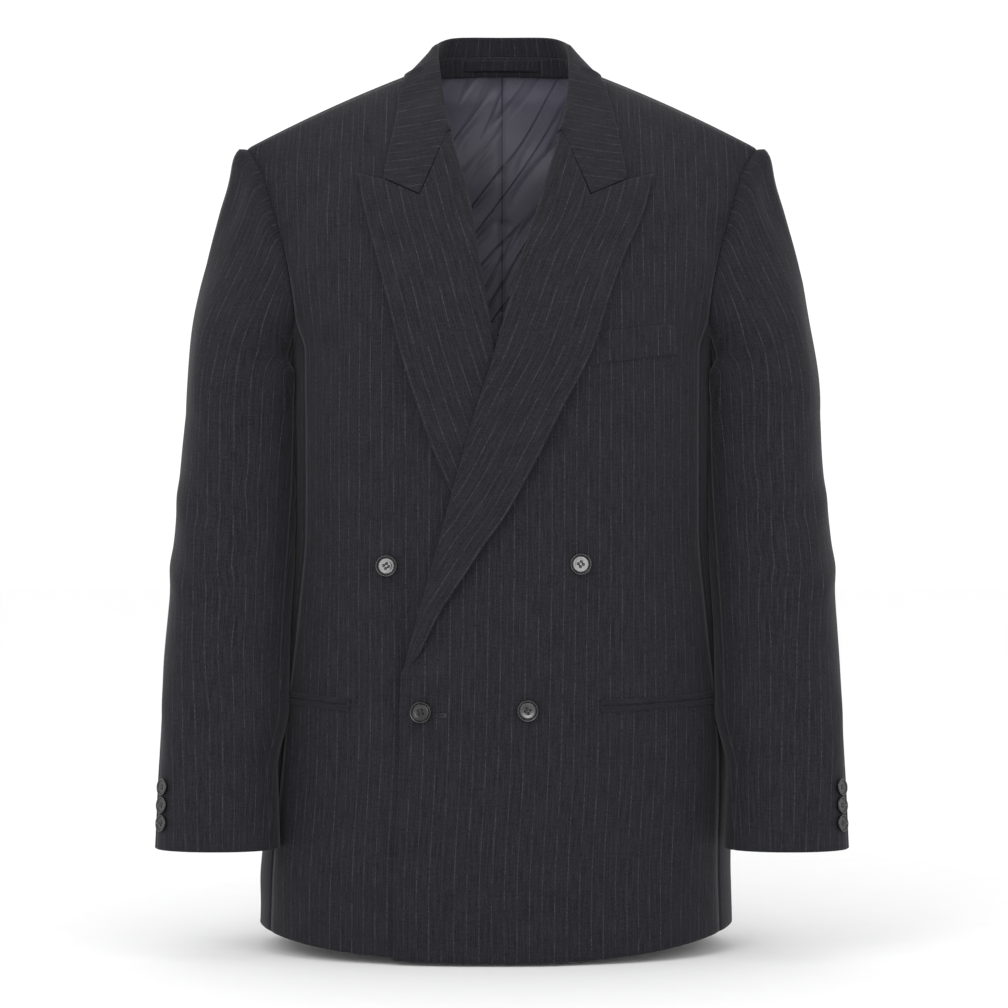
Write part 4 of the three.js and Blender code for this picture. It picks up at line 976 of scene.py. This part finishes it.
def lapel_grid(hand, outer, v, f, turns):
    """Lapel rows: a half round fold, then flat cloth out to the edge."""
    radius = FOLD_R if outer else FOLD_R - 1.5
    z = mix(LAPEL_FOOT, GORGE_Z, v)
    tip = smooth(v / 0.05)
    roll = roll_width(z)
    turn = np.radians(180 * turns - 90)
    fold_x = roll + FOLD_R - radius * np.cos(turn)
    rise = mix(-0.9, 0.7, tip) + radius * np.sin(turn) * mix(0.1, 1, tip)
    fold = lapel_point(hand, fold_x, z + 0 * fold_x, rise)
    edge_z = mix(LAPEL_FOOT, PEAK[1], v)
    edge_x = read(LAPEL_EDGE, edge_z)
    edge_x = mix(roll + FOLD_R + 1, edge_x, tip)
    pull = np.clip((v - 0.7) / 0.3, 0, 1) ** 1.6
    top_x, top_z = gorge_path(f)
    x = mix(roll + FOLD_R, edge_x, f) + pull * (top_x - mix(GORGE_X + FOLD_R, PEAK[0], f))
    zz = mix(z, edge_z, f) + pull * (top_z - mix(GORGE_Z, PEAK[1], f))
    belly = (2.6 * np.sin(np.pi * np.clip(f, 0, 1)) ** 1.2 + 4.6 * f ** 2) * smooth(
        v / 0.25) * smooth((0.9 - v) / 0.3)
    if hand < 0:
        belly = belly * smooth((z + 370) / 50)
    uneven = 0.35 * waves(x, zz, 71 + hand, 90) * np.sin(np.pi * np.clip(f, 0, 1))
    height = 1.6 + 0.4 * f + (1.8 if outer else 0.3) + belly + uneven
    height = mix(-0.9 + (0.15 if outer else 0.0), height, tip)
    flat = lapel_point(hand, x, zz, height)
    rule = read(LAPEL_EDGE, zz) + 0.27 * np.maximum(zz - PEAK[1], 0)
    lean = np.gradient(LAPEL_EDGE["x"], LAPEL_EDGE["z"])
    ruled = (rule - x) / np.hypot(1, through(zz, LAPEL_EDGE["z"], lean))
    turned = lengths(fold, 1) / MM
    ruled = np.concatenate([ruled[:, :1] + turned[:, -1:] - turned + 1, ruled], 1)
    return np.concatenate([fold, flat], 1), ruled


for side, hand in SIDES:
    v = shares(480, 0.75)[:, None]
    turns = np.linspace(0, 1, 11)[None, :]
    f = np.unique(np.r_[shares(84, 0.6)[1:], GORGE_SHARES[1:3]])
    outer, ruled = lapel_grid(hand, True, v, f[None, :], turns)
    inner = lapel_grid(hand, False, v, f[None, :], turns)[0]
    across = lengths(outer, 1)
    uv = np.stack([ruled * MM + 0.0045, outer[..., 2] * MM * 1.06], -1)
    cloth(f"lapel {side}", outer, inner, uv)
print("lapels are", round(float(across.max()) * 1000), "mm across at the widest")

# %% [markdown]
# The collar is one folded cloth. It stands up inside the neck, turns over at the crease and
# falls on the back and shoulders, ending in a corner that meets the lapel at the notch. A real
# undercollar is cut on the bias and steamed round; here every station of the neck has its own
# crease and fall, read from one table.

# %% Collar sections
COLLAR = columns([
    (0, 0, 0, 0, 84, 41.8, 0, 114, 0), (1, 22, 0, 18, 82.5, 41.7, 24, 112.5, -0.5),
    (2, 40, 0, 35, 78, 41, 45, 107, -2), (3, 56, 0, 46, 69, 39, 62, 95, -3.5),
    (4, 66, 0, 53.5, 56, 35.2, 76, 78, -5), (5, 72, 0, 58.2, 40, 30.4, 84.5, 51, -4),
    (6, 75, 1.2, 60, 26, 25.6, 88.5, 20, -2.5), (7, 73, -8, 60.5, 12, 15, 92.5, 0, -10),
    (8, 70, -20, 60, -2, 3, 95.5, -12, -24), (9, 66, -34, 58.5, -17, -14, 98.5, -26, -42),
    (10, 60, -48, 56, -33, -32, 101, -42, -60), (11, 54.5, -58, 51.7, -50, -51, 104.5, -58, -82),
    (12, 48, -63.6, 48, -64, -66, 108.2, -80, -108)], "u nx nz cx cy cz fx fy fz")
SHOULDER_STATION, BAND_SHARE = 6, 0.5
NOTCH_SHARE, COLLAR_WALL = 0.64, 1.6


def collar_read(u, name):
    """One column of the collar's table at a station."""
    start = SHOULDER_STATION if name == "nz" else 0
    return through(u, COLLAR["u"][start:], COLLAR[name][start:])


def neck_point(u, hand, height):
    """The neck seam at a station, on the back first and then on the front."""
    x = np.maximum(collar_read(u, "nx"), 0.01)
    behind = on_body(hand * x, top_line(x, True)[0], height + 0 * x, back=True)
    z = collar_read(u, "nz")
    room = mix(STAND_ROOM, 0.3, np.clip((z - GORGE_Z) / 12, 0, 1))
    front_x = hand * (read(NECK_FRONT, z) + room) + neck_shift(z)
    ahead = on_body(front_x, z, height + 0 * x)
    blend_in = smooth((u - 5.6) / 0.8)[:, None]
    return mix(behind, ahead, blend_in)


def clear_of_body(p, gap, hand):
    """Pushes points out until they stand a gap off the jacket's outer face."""
    x, ax = p[..., 0], np.abs(p[..., 0])
    ridge = mix(20, 5, np.clip((ax - NECK_X) / (SHOULDER_X - NECK_X), 0, 1)) + 3
    out = p.copy()
    for back in (False, True):
        chosen = (p[..., 1] > ridge) == back
        z = np.minimum(p[..., 2], top_line(ax, back)[0] - 0.01)
        foot = on_body(x, z, 0 * x, back)
        n = on_body(x, z, 0 * x + 1, back) - foot
        lift = 0 * x if back else stack(x, z, hand)
        short = gap - (np.sum((p - foot) * n, -1) - lift)
        out = np.where(chosen[..., None] & (short > 0)[..., None], p + n * short[..., None], out)
    return out


def collar_frame(u, hand):
    """Neck seam, crease and fall of every station, with the fold's own directions."""
    neck = neck_point(u, hand, -WALL)
    shift = neck_shift(collar_read(u, "cz") - 30)
    crease = np.stack([hand * collar_read(u, "cx") + shift, collar_read(u, "cy"),
                       collar_read(u, "cz")], -1)
    fz = collar_read(u, "fz") - 1.6 * bell((u - 5.3) / 1.6)
    fall = np.stack([hand * collar_read(u, "fx") + neck_shift(fz), collar_read(u, "fy"), fz], -1)
    last = smooth((u - 11.6) / 0.4)[:, None]
    one = np.ones(1)
    end_crease = lapel_point(hand, GORGE_X * one, (GORGE_Z + 0.4) * one, 0.7 * one)
    end_fall = lapel_point(hand, (COLLAR_TIP[0] - 0.2) * one, (COLLAR_TIP[1] + 0.6) * one,
                           3.4 * one)
    crease, fall = mix(crease, end_crease, last), mix(fall, end_fall, last)
    end = smooth((u - 10) / 2)[:, None]
    inward = np.array([-hand, 0.0, 0.0])
    tip = unit(mix(unit(crease - mix(neck, fall, 0.5)), inward, end))
    across = fall - neck
    across = unit(across - tip * np.sum(across * tip, -1, keepdims=True))
    low = np.minimum(crease[:, 2], GORGE_Z)
    face = on_body(crease[:, 0], low, 0 * low + 1) - on_body(crease[:, 0], low, 0 * low)
    across = mix(across, face, end)
    across = unit(across - tip * np.sum(across * tip, -1, keepdims=True))
    centre = crease - tip * FOLD_R
    return neck, centre, centre - across * FOLD_R, across, tip, fall


def collar_rows(u, hand, share, stand, turns, falls):
    """Points across every station: stand, half round fold, then the fall on the shoulders."""
    neck, centre, stand_top, across, tip, fall = collar_frame(u, hand)
    start = mix(neck, stand_top, share[:, None])
    rise = mix(start[:, None], stand_top[:, None], stand[None, :, None])
    turn = np.pi * turns[None, :, None]
    fold = (centre[:, None] - across[:, None] * FOLD_R * np.cos(turn)
            + tip[:, None] * FOLD_R * np.sin(turn))
    t = falls[None, :]
    out = mix(fold[:, -1:], fall[:, None], t[..., None])
    belly = 1.2 * np.sin(np.pi * t) * (smooth((4 - u[:, None]) / 2) + smooth((u[:, None] - 8) / 2))
    out = out + across[:, None] * belly[..., None]
    pull = (np.clip((u - 8) / 4, 0, 1) ** 2)[:, None]
    first = np.clip(t / NOTCH_SHARE, 0, 1)
    second = np.clip((t - NOTCH_SHARE) / 0.36, 0, 1)
    path_x = mix(mix(GORGE_X + FOLD_R + 0.1, NOTCH[0], first), COLLAR_TIP[0] - 0.3, second)
    path_z = mix(mix(GORGE_Z + 0.3, NOTCH[1] + 0.15, first), COLLAR_TIP[1] + 0.5, second)
    out[..., 0] += hand * pull * (path_x - mix(GORGE_X + FOLD_R, COLLAR_TIP[0] - 0.2, t))
    out[..., 2] += pull * (path_z - mix(GORGE_Z + 2.2, COLLAR_TIP[1] + 0.6, t))
    laid = on_body(out[..., 0], out[..., 2], stack(out[..., 0], out[..., 2], hand) + 3.4)
    out = mix(out, laid, pull[..., None])
    gap = mix(mix(2.8, 1.8, t), 3.4, smooth((u[:, None] - 8.5) / 2))
    return np.concatenate([rise, fold, clear_of_body(out, gap, hand)], 1)


def stand_start(u):
    """Share of the stand below the collar, which the band fills."""
    return BAND_SHARE * (1 - smooth((u - 6) / 2.5))


def round_the_neck(make, u):
    """Rows from the right end round the back of the neck to the left end."""
    return np.concatenate([make(u, -1)[:0:-1], make(u, 1)])


# %% Collar, band and hanger loop
stations = np.unique(np.r_[np.linspace(0, 12, int(round(300 / GRAIN)) + 1), 11.7, 11.85])
stand = np.linspace(0, 1, 7)[:-1]
turns = np.linspace(0, 1, 11)
falls = np.unique(np.r_[shares(64, 0.8)[1:], NOTCH_SHARE])
outer = round_the_neck(lambda u, hand: collar_rows(
    u, hand, stand_start(u) - 0.03, stand, turns, falls), stations)
inner = outer + surface_normals(outer) * COLLAR_WALL
probe = np.sum((outer - inner) * (outer - outer.mean((0, 1))), -1).mean()
if probe < 0:
    inner = 2 * outer - inner
crease = len(stand) + 5
along = lengths(outer, 0)[:, crease]
along = along - along[len(outer) // 2]
around = lengths(outer, 1)
station = np.abs(np.concatenate([-stations[:0:-1], stations]))[:, None]
share = np.concatenate([np.zeros(len(stand) + len(turns)), falls])[None, :]
drop = (outer[:, crease, 2][:, None] - outer[..., 2]) * MM * 1.3
shear = (drop - 0.008 * share) * (share > 0) * smooth((station - 5.5) / 2.5)
sign = np.sign(along)[:, None]
uv = np.stack([along[:, None] + sign * shear + HALF_STRIPE, around], -1)
cloth("collar", outer, inner, uv)


def stand_frame(u, hand):
    """Neck seam, way up the stand, and way out of the neck, at every station."""
    neck, centre, stand_top, across, tip, fall = collar_frame(u, hand)
    rise = stand_top - neck
    out = centre + across * FOLD_R - neck
    length = np.sum(rise * rise, -1, keepdims=True)
    out = unit(out - rise * np.sum(out * rise, -1, keepdims=True) / length)
    return neck, rise, out


def band_rows(u, hand, low, high, depth, across_count):
    """Rows of a strip on the stand between two shares of its height."""
    neck, rise, out = stand_frame(u, hand)
    share = mix(low, high[:, None], np.linspace(0, 1, across_count)[None, :])
    return neck[:, None] + rise[:, None] * share[..., None] + out[:, None] * depth


band_u = np.unique(np.r_[np.linspace(0, 7.6, 60), 7.5])
outer = round_the_neck(lambda u, hand: band_rows(
    u, hand, -0.09, stand_start(u) - 0.015, -1.3, 8), band_u)
inner = round_the_neck(lambda u, hand: band_rows(
    u, hand, -0.09, stand_start(u) - 0.015, 0.2, 8), band_u)
around = lengths(outer, 0)
uv = np.stack([around - around[len(around) // 2], lengths(outer, 1)], -1)
band = shell("collar band", outer, inner, uv, WOOL)
dress(band, "wool_suiting", "collar_band")

loop_u = np.linspace(0, 1.8, 24)
lift = np.concatenate([loop_u[:0:-1], loop_u])
slack = 1.4 * (1 - smooth((lift - 1.1) / 0.6))[:, None, None]
rows = [round_the_neck(lambda u, hand: band_rows(
    u, hand, 0.08, 0.4 + 0 * u, depth, 8), loop_u) for depth in (-1.6, -2.5)]
way = unit(rows[1] - rows[0])
uv = np.stack([lengths(rows[0], 0), lengths(rows[0], 1)], -1)
loop = shell("hanger loop", rows[1] + way * slack, rows[0] + way * slack, uv, WOOL)
dress(loop, "wool_suiting", "hanger_loop")
print("collar runs", round(float(np.ptp(along)) * 1000), "mm round its crease")

# %% [markdown]
# The breast pocket shows as a slanted welt, a folded strip stitched at both ends. The hip
# pockets are jetted: two narrow plain strips turned into a slit.

# %% Welt and jets
WELT = {"low_in": (71.5, -278.7), "high_in": (83.5, -249.3), "high_out": (152.9, -240.0),
        "low_out": (153.8, -266.4)}


def welt_grid(height, u, v):
    """The welt's four corners mixed straight, laid on the left front."""
    low = [mix(WELT["low_in"][i], WELT["low_out"][i], u) for i in (0, 1)]
    high = [mix(WELT["high_in"][i], WELT["high_out"][i], u) for i in (0, 1)]
    x, z = mix(low[0], high[0], v), mix(low[1], high[1], v)
    return on_body(x, z, lie(1, x, z) + height), x, z


u, v = np.linspace(0, 1, 44)[None, :], np.linspace(0, 1, 18)[:, None]
puff = 0.9 * np.sin(np.pi * np.clip(v * 0.9 + 0.1, 0, 1)) ** 0.5 * np.sin(np.pi * u) ** 0.3
outer, x, z = welt_grid(1.0 + puff, u, v)
inner, x, z = welt_grid(0.25 + 0 * puff, u, v)
cloth("breast welt", outer, inner, np.stack([x * MM, z * MM], -1))

JET = {"inner": 110.0, "outer_phi": 84.0, "z_in": -577.0, "tilt": 5.5, "high": 5.5, "slit": 0.35}


def jet_point(hand, share, dz, height):
    """Point beside a pocket's slit, at a share of its length and a rise above it."""
    start_x = np.abs(closure(JET["z_in"]) + hand * JET["inner"])
    start = np.degrees(np.arcsin((start_x / torso(JET["z_in"], "side")) ** (POWER / 2)))
    phi = mix(start, JET["outer_phi"], share)
    z = JET["z_in"] + JET["tilt"] * share + dz
    x = hand * seam_x(phi, z)
    relief = stack(x, z, hand) + front_relief(hand, x, z) * (phi < SIDE_FRONT)
    p = on_side(phi, z, hand, height + relief)
    p[..., 1] -= SEAM * np.clip((SIDE_FRONT + 2 - phi) / 2, 0, 1)
    return p


for side, hand in SIDES:
    lips = []
    for sign in (1, -1):
        share = np.linspace(0, 1, 60)[None, :]
        t = np.linspace(0, 1, 9)[:, None]
        dz = sign * mix(JET["slit"], JET["high"], t) + 0 * share
        round_lip = 1.1 * np.sqrt(np.clip(1 - (2 * t - 1) ** 2, 0, 1)) ** 0.7
        uneven = 0.2 * waves(share * 120, dz, 83 + hand, 40)
        outer = jet_point(hand, share, dz, 0.6 + round_lip + uneven)
        inner = jet_point(hand, share, dz, 0.3 + 0 * dz)
        uv = np.stack([dz * MM + 0.003, share * 0.14 + 0 * dz], -1)
        lips.append(shell_arrays(outer, inner, uv))
    points = np.concatenate([lip[0] for lip in lips])
    faces = np.concatenate([facing_out(lips[0][0], lips[0][1]),
                            facing_out(lips[1][0], lips[1][1]) + len(lips[0][0])])
    uvs = np.concatenate([lip[2] for lip in lips])
    jets = mesh_object(f"pocket jets {side}", points, faces, uvs, PLAIN_WOOL)
    dress(jets, "wool_suiting", f"pocket_jets_{side}")

# %% [markdown]
# Buttons are turned discs with a raised rim, a dished middle and four holes. They are sewn with
# doubled thread on a short shank. A button is a height read round a polar grid, and the holes
# are pressed into that height, so each one stays a single closed piece.

# %% Turned buttons
BUTTON_PROFILE = columns([
    (0, 0.0, 0.0), (1, 0.4, 0.0), (2, 0.75, 0.01), (3, 0.93, 0.13), (4, 1.0, 0.27),
    (5, 0.985, 0.37), (6, 0.94, 0.42), (7, 0.88, 0.41), (8, 0.81, 0.33), (9, 0.75, 0.262),
    (10, 0.69, 0.29), (11, 0.55, 0.287), (12, 0.4, 0.282), (13, 0.0, 0.28)], "k r h")


THREAD_SIDES = 6
SHANK, HOLE_AT = 0.6, 0.168


def closed_rings(rows, cols, first=0):
    """Quads between rings of points that follow one another, and the caps at both ends."""
    at, row = np.arange(cols), np.arange(rows - 1)[:, None] * cols + first
    i, j = (row + at).ravel(), (row + np.roll(at, -1)).ravel()
    end = first + (rows - 1) * cols
    caps = [[first + k for k in range(cols)][::-1], [end + k for k in range(cols)]]
    return np.stack([i, j, j + cols, i + cols], 1), caps


def button_arrays(diameter, foot, normal, spin):
    """Points and quads of a turned button standing on a foot point along a normal."""
    radius = diameter / 2
    k = np.r_[np.linspace(0.05, 12, 52), np.linspace(12, 12.985, 30)[1:]]
    turn = np.linspace(0, 2 * math.pi, 97)[:-1]
    r, h = (read(BUTTON_PROFILE, k, name, "k")[:, None] for name in "rh")
    x, y = r * np.cos(turn), r * np.sin(turn)
    hole = np.hypot(np.abs(x) - HOLE_AT, np.abs(y) - HOLE_AT)
    top = (k > 10)[:, None]
    h = h + 0 * x - np.where(top, 0.2 * (1 - smooth((hole - 0.085) / 0.04)), 0)
    side = unit(np.cross(normal, [0.0, 0.0, 1.0]))
    up = np.cross(side, normal)
    side, up = (side * math.cos(spin) + up * math.sin(spin),
                up * math.cos(spin) - side * math.sin(spin))
    points = foot + radius * (x[..., None] * side + y[..., None] * up + h[..., None] * normal)
    quads, caps = closed_rings(*x.shape)
    uv = np.stack([x, y], -1).reshape(-1, 2) * radius * MM + 0.02
    return points.reshape(-1, 3), quads, uv, caps, (side, up)


def tube_arrays(path, radius, first):
    """Closed round thread along a path, thinner at its ends."""
    way = unit(np.gradient(path, axis=0))
    lean = np.where(np.abs(way[:, 2:]) > 0.9, [[1.0, 0.0, 0.0]], [[0.0, 0.0, 1.0]])
    one = unit(np.cross(way, lean))
    two = np.cross(way, one)
    turn = np.linspace(0, 2 * math.pi, THREAD_SIDES + 1)[:-1]
    size = radius * np.r_[0.4, np.ones(len(path) - 2), 0.4][:, None, None]
    points = path[:, None] + size * (np.cos(turn)[None, :, None] * one[:, None]
                                     + np.sin(turn)[None, :, None] * two[:, None])
    return (points.reshape(-1, 3), *closed_rings(len(path), THREAD_SIDES, first))


def threads(name, paths, radius, look=THREAD):
    """One piece of many short threads."""
    points, quads, caps, first = [], [], [], 0
    for path in paths:
        p, q, c = tube_arrays(path, radius, first)
        points.append(p)
        quads.append(q)
        caps += c
        first += len(p)
    points, quads = np.concatenate(points), np.concatenate(quads)
    piece = mesh_object(name, points, quads, points[:, [0, 2]] * MM, look, caps)
    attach(piece, "root")
    return piece


BUTTONS = [("upper_right", -1, -101.1, -454.5), ("upper_left", 1, 67.7, -452.7),
           ("lower_fastened", 1, -70.1, -582.1), ("lower_left", 1, 22.3, -580.4)]
CUFF_TOP_Z, CUFF_PITCH, CUFF_PSI = -651.0, 15.8, 33.0
FRONT_SIZE, CUFF_SIZE = 19.0, 15.0
SEWN = []


def sew_button(name, node, diameter, foot, normal, spin):
    """Places a button and records the threads through its holes and its shank."""
    points, quads, uv, caps, (side, up) = button_arrays(diameter, foot, normal, spin)
    piece = mesh_object(name, points, quads, uv, HORN, caps)
    dress(piece, "button_gloss", node)
    r = diameter / 2
    t = np.linspace(-1, 1, 9)[:, None]
    for y in (-HOLE_AT, HOLE_AT):
        for k in (-0.035, 0.0, 0.035):
            arch = 0.285 + 0.035 * (1 - t ** 2) - 0.09 * t ** 6
            SEWN.append(foot + r * (0.19 * t * side + (y + k) * up + arch * normal))


for name, hand, x, z in BUTTONS:
    x, z = np.array([x]), np.array([z])
    foot = on_body(x, z, lie(hand, x, z) + SHANK)[0]
    normal = unit(on_body(x, z, 0 * x + 1) - on_body(x, z, 0 * x))[0]
    upper = z[0] > -500
    normal = unit(mix(normal, np.array([0.0, -1.0, 0.03 if upper else 0.012]),
                      1.0 if upper else 0.6))
    sew_button("button " + name.replace("_", " "), "button_" + name, FRONT_SIZE, foot,
               normal, 0.35 + 0.9 * x[0] / 100)

for side, hand in SIDES:
    for i in range(3):
        z = np.array([CUFF_TOP_Z - CUFF_PITCH * i])
        psi = np.array([CUFF_PSI])
        at = sleeve_ring(psi, z, hand)[0]
        v = (CAP_Z - z) / (CAP_Z - CUFF_Z) * (1 - CAP_SHARE) + CAP_SHARE
        n = unit(np.cross(sleeve_ring(psi + 1, z, hand) - sleeve_ring(psi - 1, z, hand),
                          sleeve_ring(psi, z - 1, hand) - sleeve_ring(psi, z + 1, hand)) * hand)[0]
        share = (psi - hind_seam(v)) / (FRONT_SEAM - hind_seam(v))
        rise = sleeve_relief(psi, z, v, hand) * (smooth(share / 0.1) * 0.75 + 0.25)
        sew_button(f"cuff button {side} {i + 1}", f"cuff_button_{side}_{i + 1}", CUFF_SIZE,
                   at + n * (0.2 + rise[0]), n, 0.3 * i)
threads("button threads", SEWN, 0.34, CORD)
print("threads in the buttons:", len(SEWN))

# %% [markdown]
# Hand sewing: small prick stitches hold the lapel and front edges flat, a purl of thread closes
# round the working buttonhole, and bar tacks guard the ends of the welt and the pockets.

# %% Stitches


def along_path(path, pitch, length):
    """Short arcs at an even pitch along a path, each a few points long."""
    whole, read_at = path_reader(path)
    return [read_at(start + np.linspace(0, length, 5))
            for start in np.arange(pitch, whole - pitch, pitch)]


def edge_path(hand, inside):
    """Line a few millimetres inside a lapel's outer edge, on its face."""
    v = np.linspace(0.02, 0.985, 300)[:, None]
    f = np.array([[1 - inside / 85.0]])
    grid = lapel_grid(hand, True, v, f, np.linspace(0, 1, 3)[None, :])[0]
    return grid[:, -1]


PRICK_INSET, PRICK_PITCH, PRICK_LENGTH = 3.4, 5.0, 1.1
pricks = []
for hand in (1, -1):
    pricks += along_path(edge_path(hand, PRICK_INSET), PRICK_PITCH, PRICK_LENGTH)
z = np.linspace(-792, -550, 260)
x = closure(z) - FRONT_EDGE + PRICK_INSET
path = hung(on_body(x, z, lie(1, x, z) + 0.02))
pricks += along_path(path, PRICK_PITCH, PRICK_LENGTH)
threads("prick stitches", pricks, 0.14)

HOLE_X, HOLE_Z, HOLE_HALF = -59.5, -584.6, 10.0
purl = []
for turn in np.linspace(0, 2 * math.pi, 73)[:-1]:
    c, s = math.cos(turn), math.sin(turn)
    reach = np.array([0.4, 1.0, 1.6, 2.2])
    x = HOLE_X + HOLE_HALF * np.sign(c) * abs(c) ** 0.35 + reach * c
    z = HOLE_Z + reach * np.sign(s) * abs(s) ** 0.5
    purl.append(on_body(x, z, stack(x, z, 1) + np.array([0.15, 0.5, 0.5, 0.1])))
threads("buttonhole purl", purl, 0.3)

tacks = []
for (x0, z0), (x1, z1) in ((WELT["low_in"], WELT["high_in"]), (WELT["low_out"], WELT["high_out"])):
    for t in np.linspace(0.12, 0.88, 14):
        x = mix(x0, x1, t) + np.linspace(-1.0, 1.0, 5)
        z = mix(z0, z1, t) + 0 * x
        tacks.append(on_body(x, z, lie(1, x, z) + 1.25))
for hand in (1, -1):
    for share in (0.004, 0.996):
        for t in np.linspace(-4.4, 4.4, 12):
            reach = share + np.linspace(-0.006, 0.006, 5)
            tacks.append(jet_point(hand, reach, t + 0 * reach, 1.4 + 0 * reach))
threads("bar tacks", tacks, 0.2)
print("stitches:", len(pricks), "purl threads:", len(purl), "tack threads:", len(tacks))

# %% [markdown]
# The studio is a white sweep lit by wide soft lights, so the dark wool shows its folds and the
# hem leaves only a soft shadow on the floor. The camera looks level at the jacket's middle.

# %% Floor, lights and camera
scene = bpy.context.scene
floor_mesh = bpy.data.meshes.new("studio floor")
FLOOR_Z = -0.803
floor_mesh.from_pydata([(x, y, FLOOR_Z) for x, y in ((-9, -6), (9, -6), (9, 12), (-9, 12))],
                       [], [(0, 1, 2, 3)])
floor = bpy.data.objects.new("studio floor", floor_mesh)
scene.collection.objects.link(floor)
FLOOR, paint, shader = material("white studio floor", Roughness=0.8, Specular_IOR_Level=0.1)
grit = paint.noise(paint.object_place(), 30.0, 3.0)
paint.put(shader, "Base Color", paint.blend(grit, tint(0.9, 0.9, 0.9), tint(0.93, 0.93, 0.93)))
floor_mesh.materials.append(FLOOR)

world = bpy.data.worlds.new("studio")
world.use_nodes = True
glow = world.node_tree.nodes["Background"].inputs
glow["Color"].default_value, glow["Strength"].default_value = tint(1, 1, 1), 1.08
scene.world = world
scene.view_settings.view_transform = "Standard"


def soft_light(name, at, aim, size, watts):
    """Square area light aimed at a point."""
    data = bpy.data.lights.new(name, "AREA")
    data.size, data.energy = size, watts
    lamp = bpy.data.objects.new(name, data)
    scene.collection.objects.link(lamp)
    lamp.location = at
    lamp.rotation_euler = (Vector(aim) - Vector(at)).to_track_quat("-Z", "Y").to_euler()


soft_light("key", (-1.5, -2.6, 1.3), (0, 0, -0.35), 1.6, 24)
soft_light("fill", (1.9, -2.4, 0.5), (0, 0, -0.4), 1.8, 9)
soft_light("front", (0, -3.3, -0.22), (0, 0, -0.4), 0.75, 16)
soft_light("top", (0, -0.2, 2.1), (0, 0, -0.2), 1.6, 3)

camera_data = bpy.data.cameras.new("camera")
camera_data.lens, camera_data.sensor_width = 108.7, 36.0
camera = bpy.data.objects.new("camera", camera_data)
scene.collection.objects.link(camera)
camera.location = (0.0018, -2.8, -0.4)
camera.rotation_euler = (math.pi / 2, 0, 0)
scene.camera = camera

# %% Update the scene
bpy.context.view_layer.update()
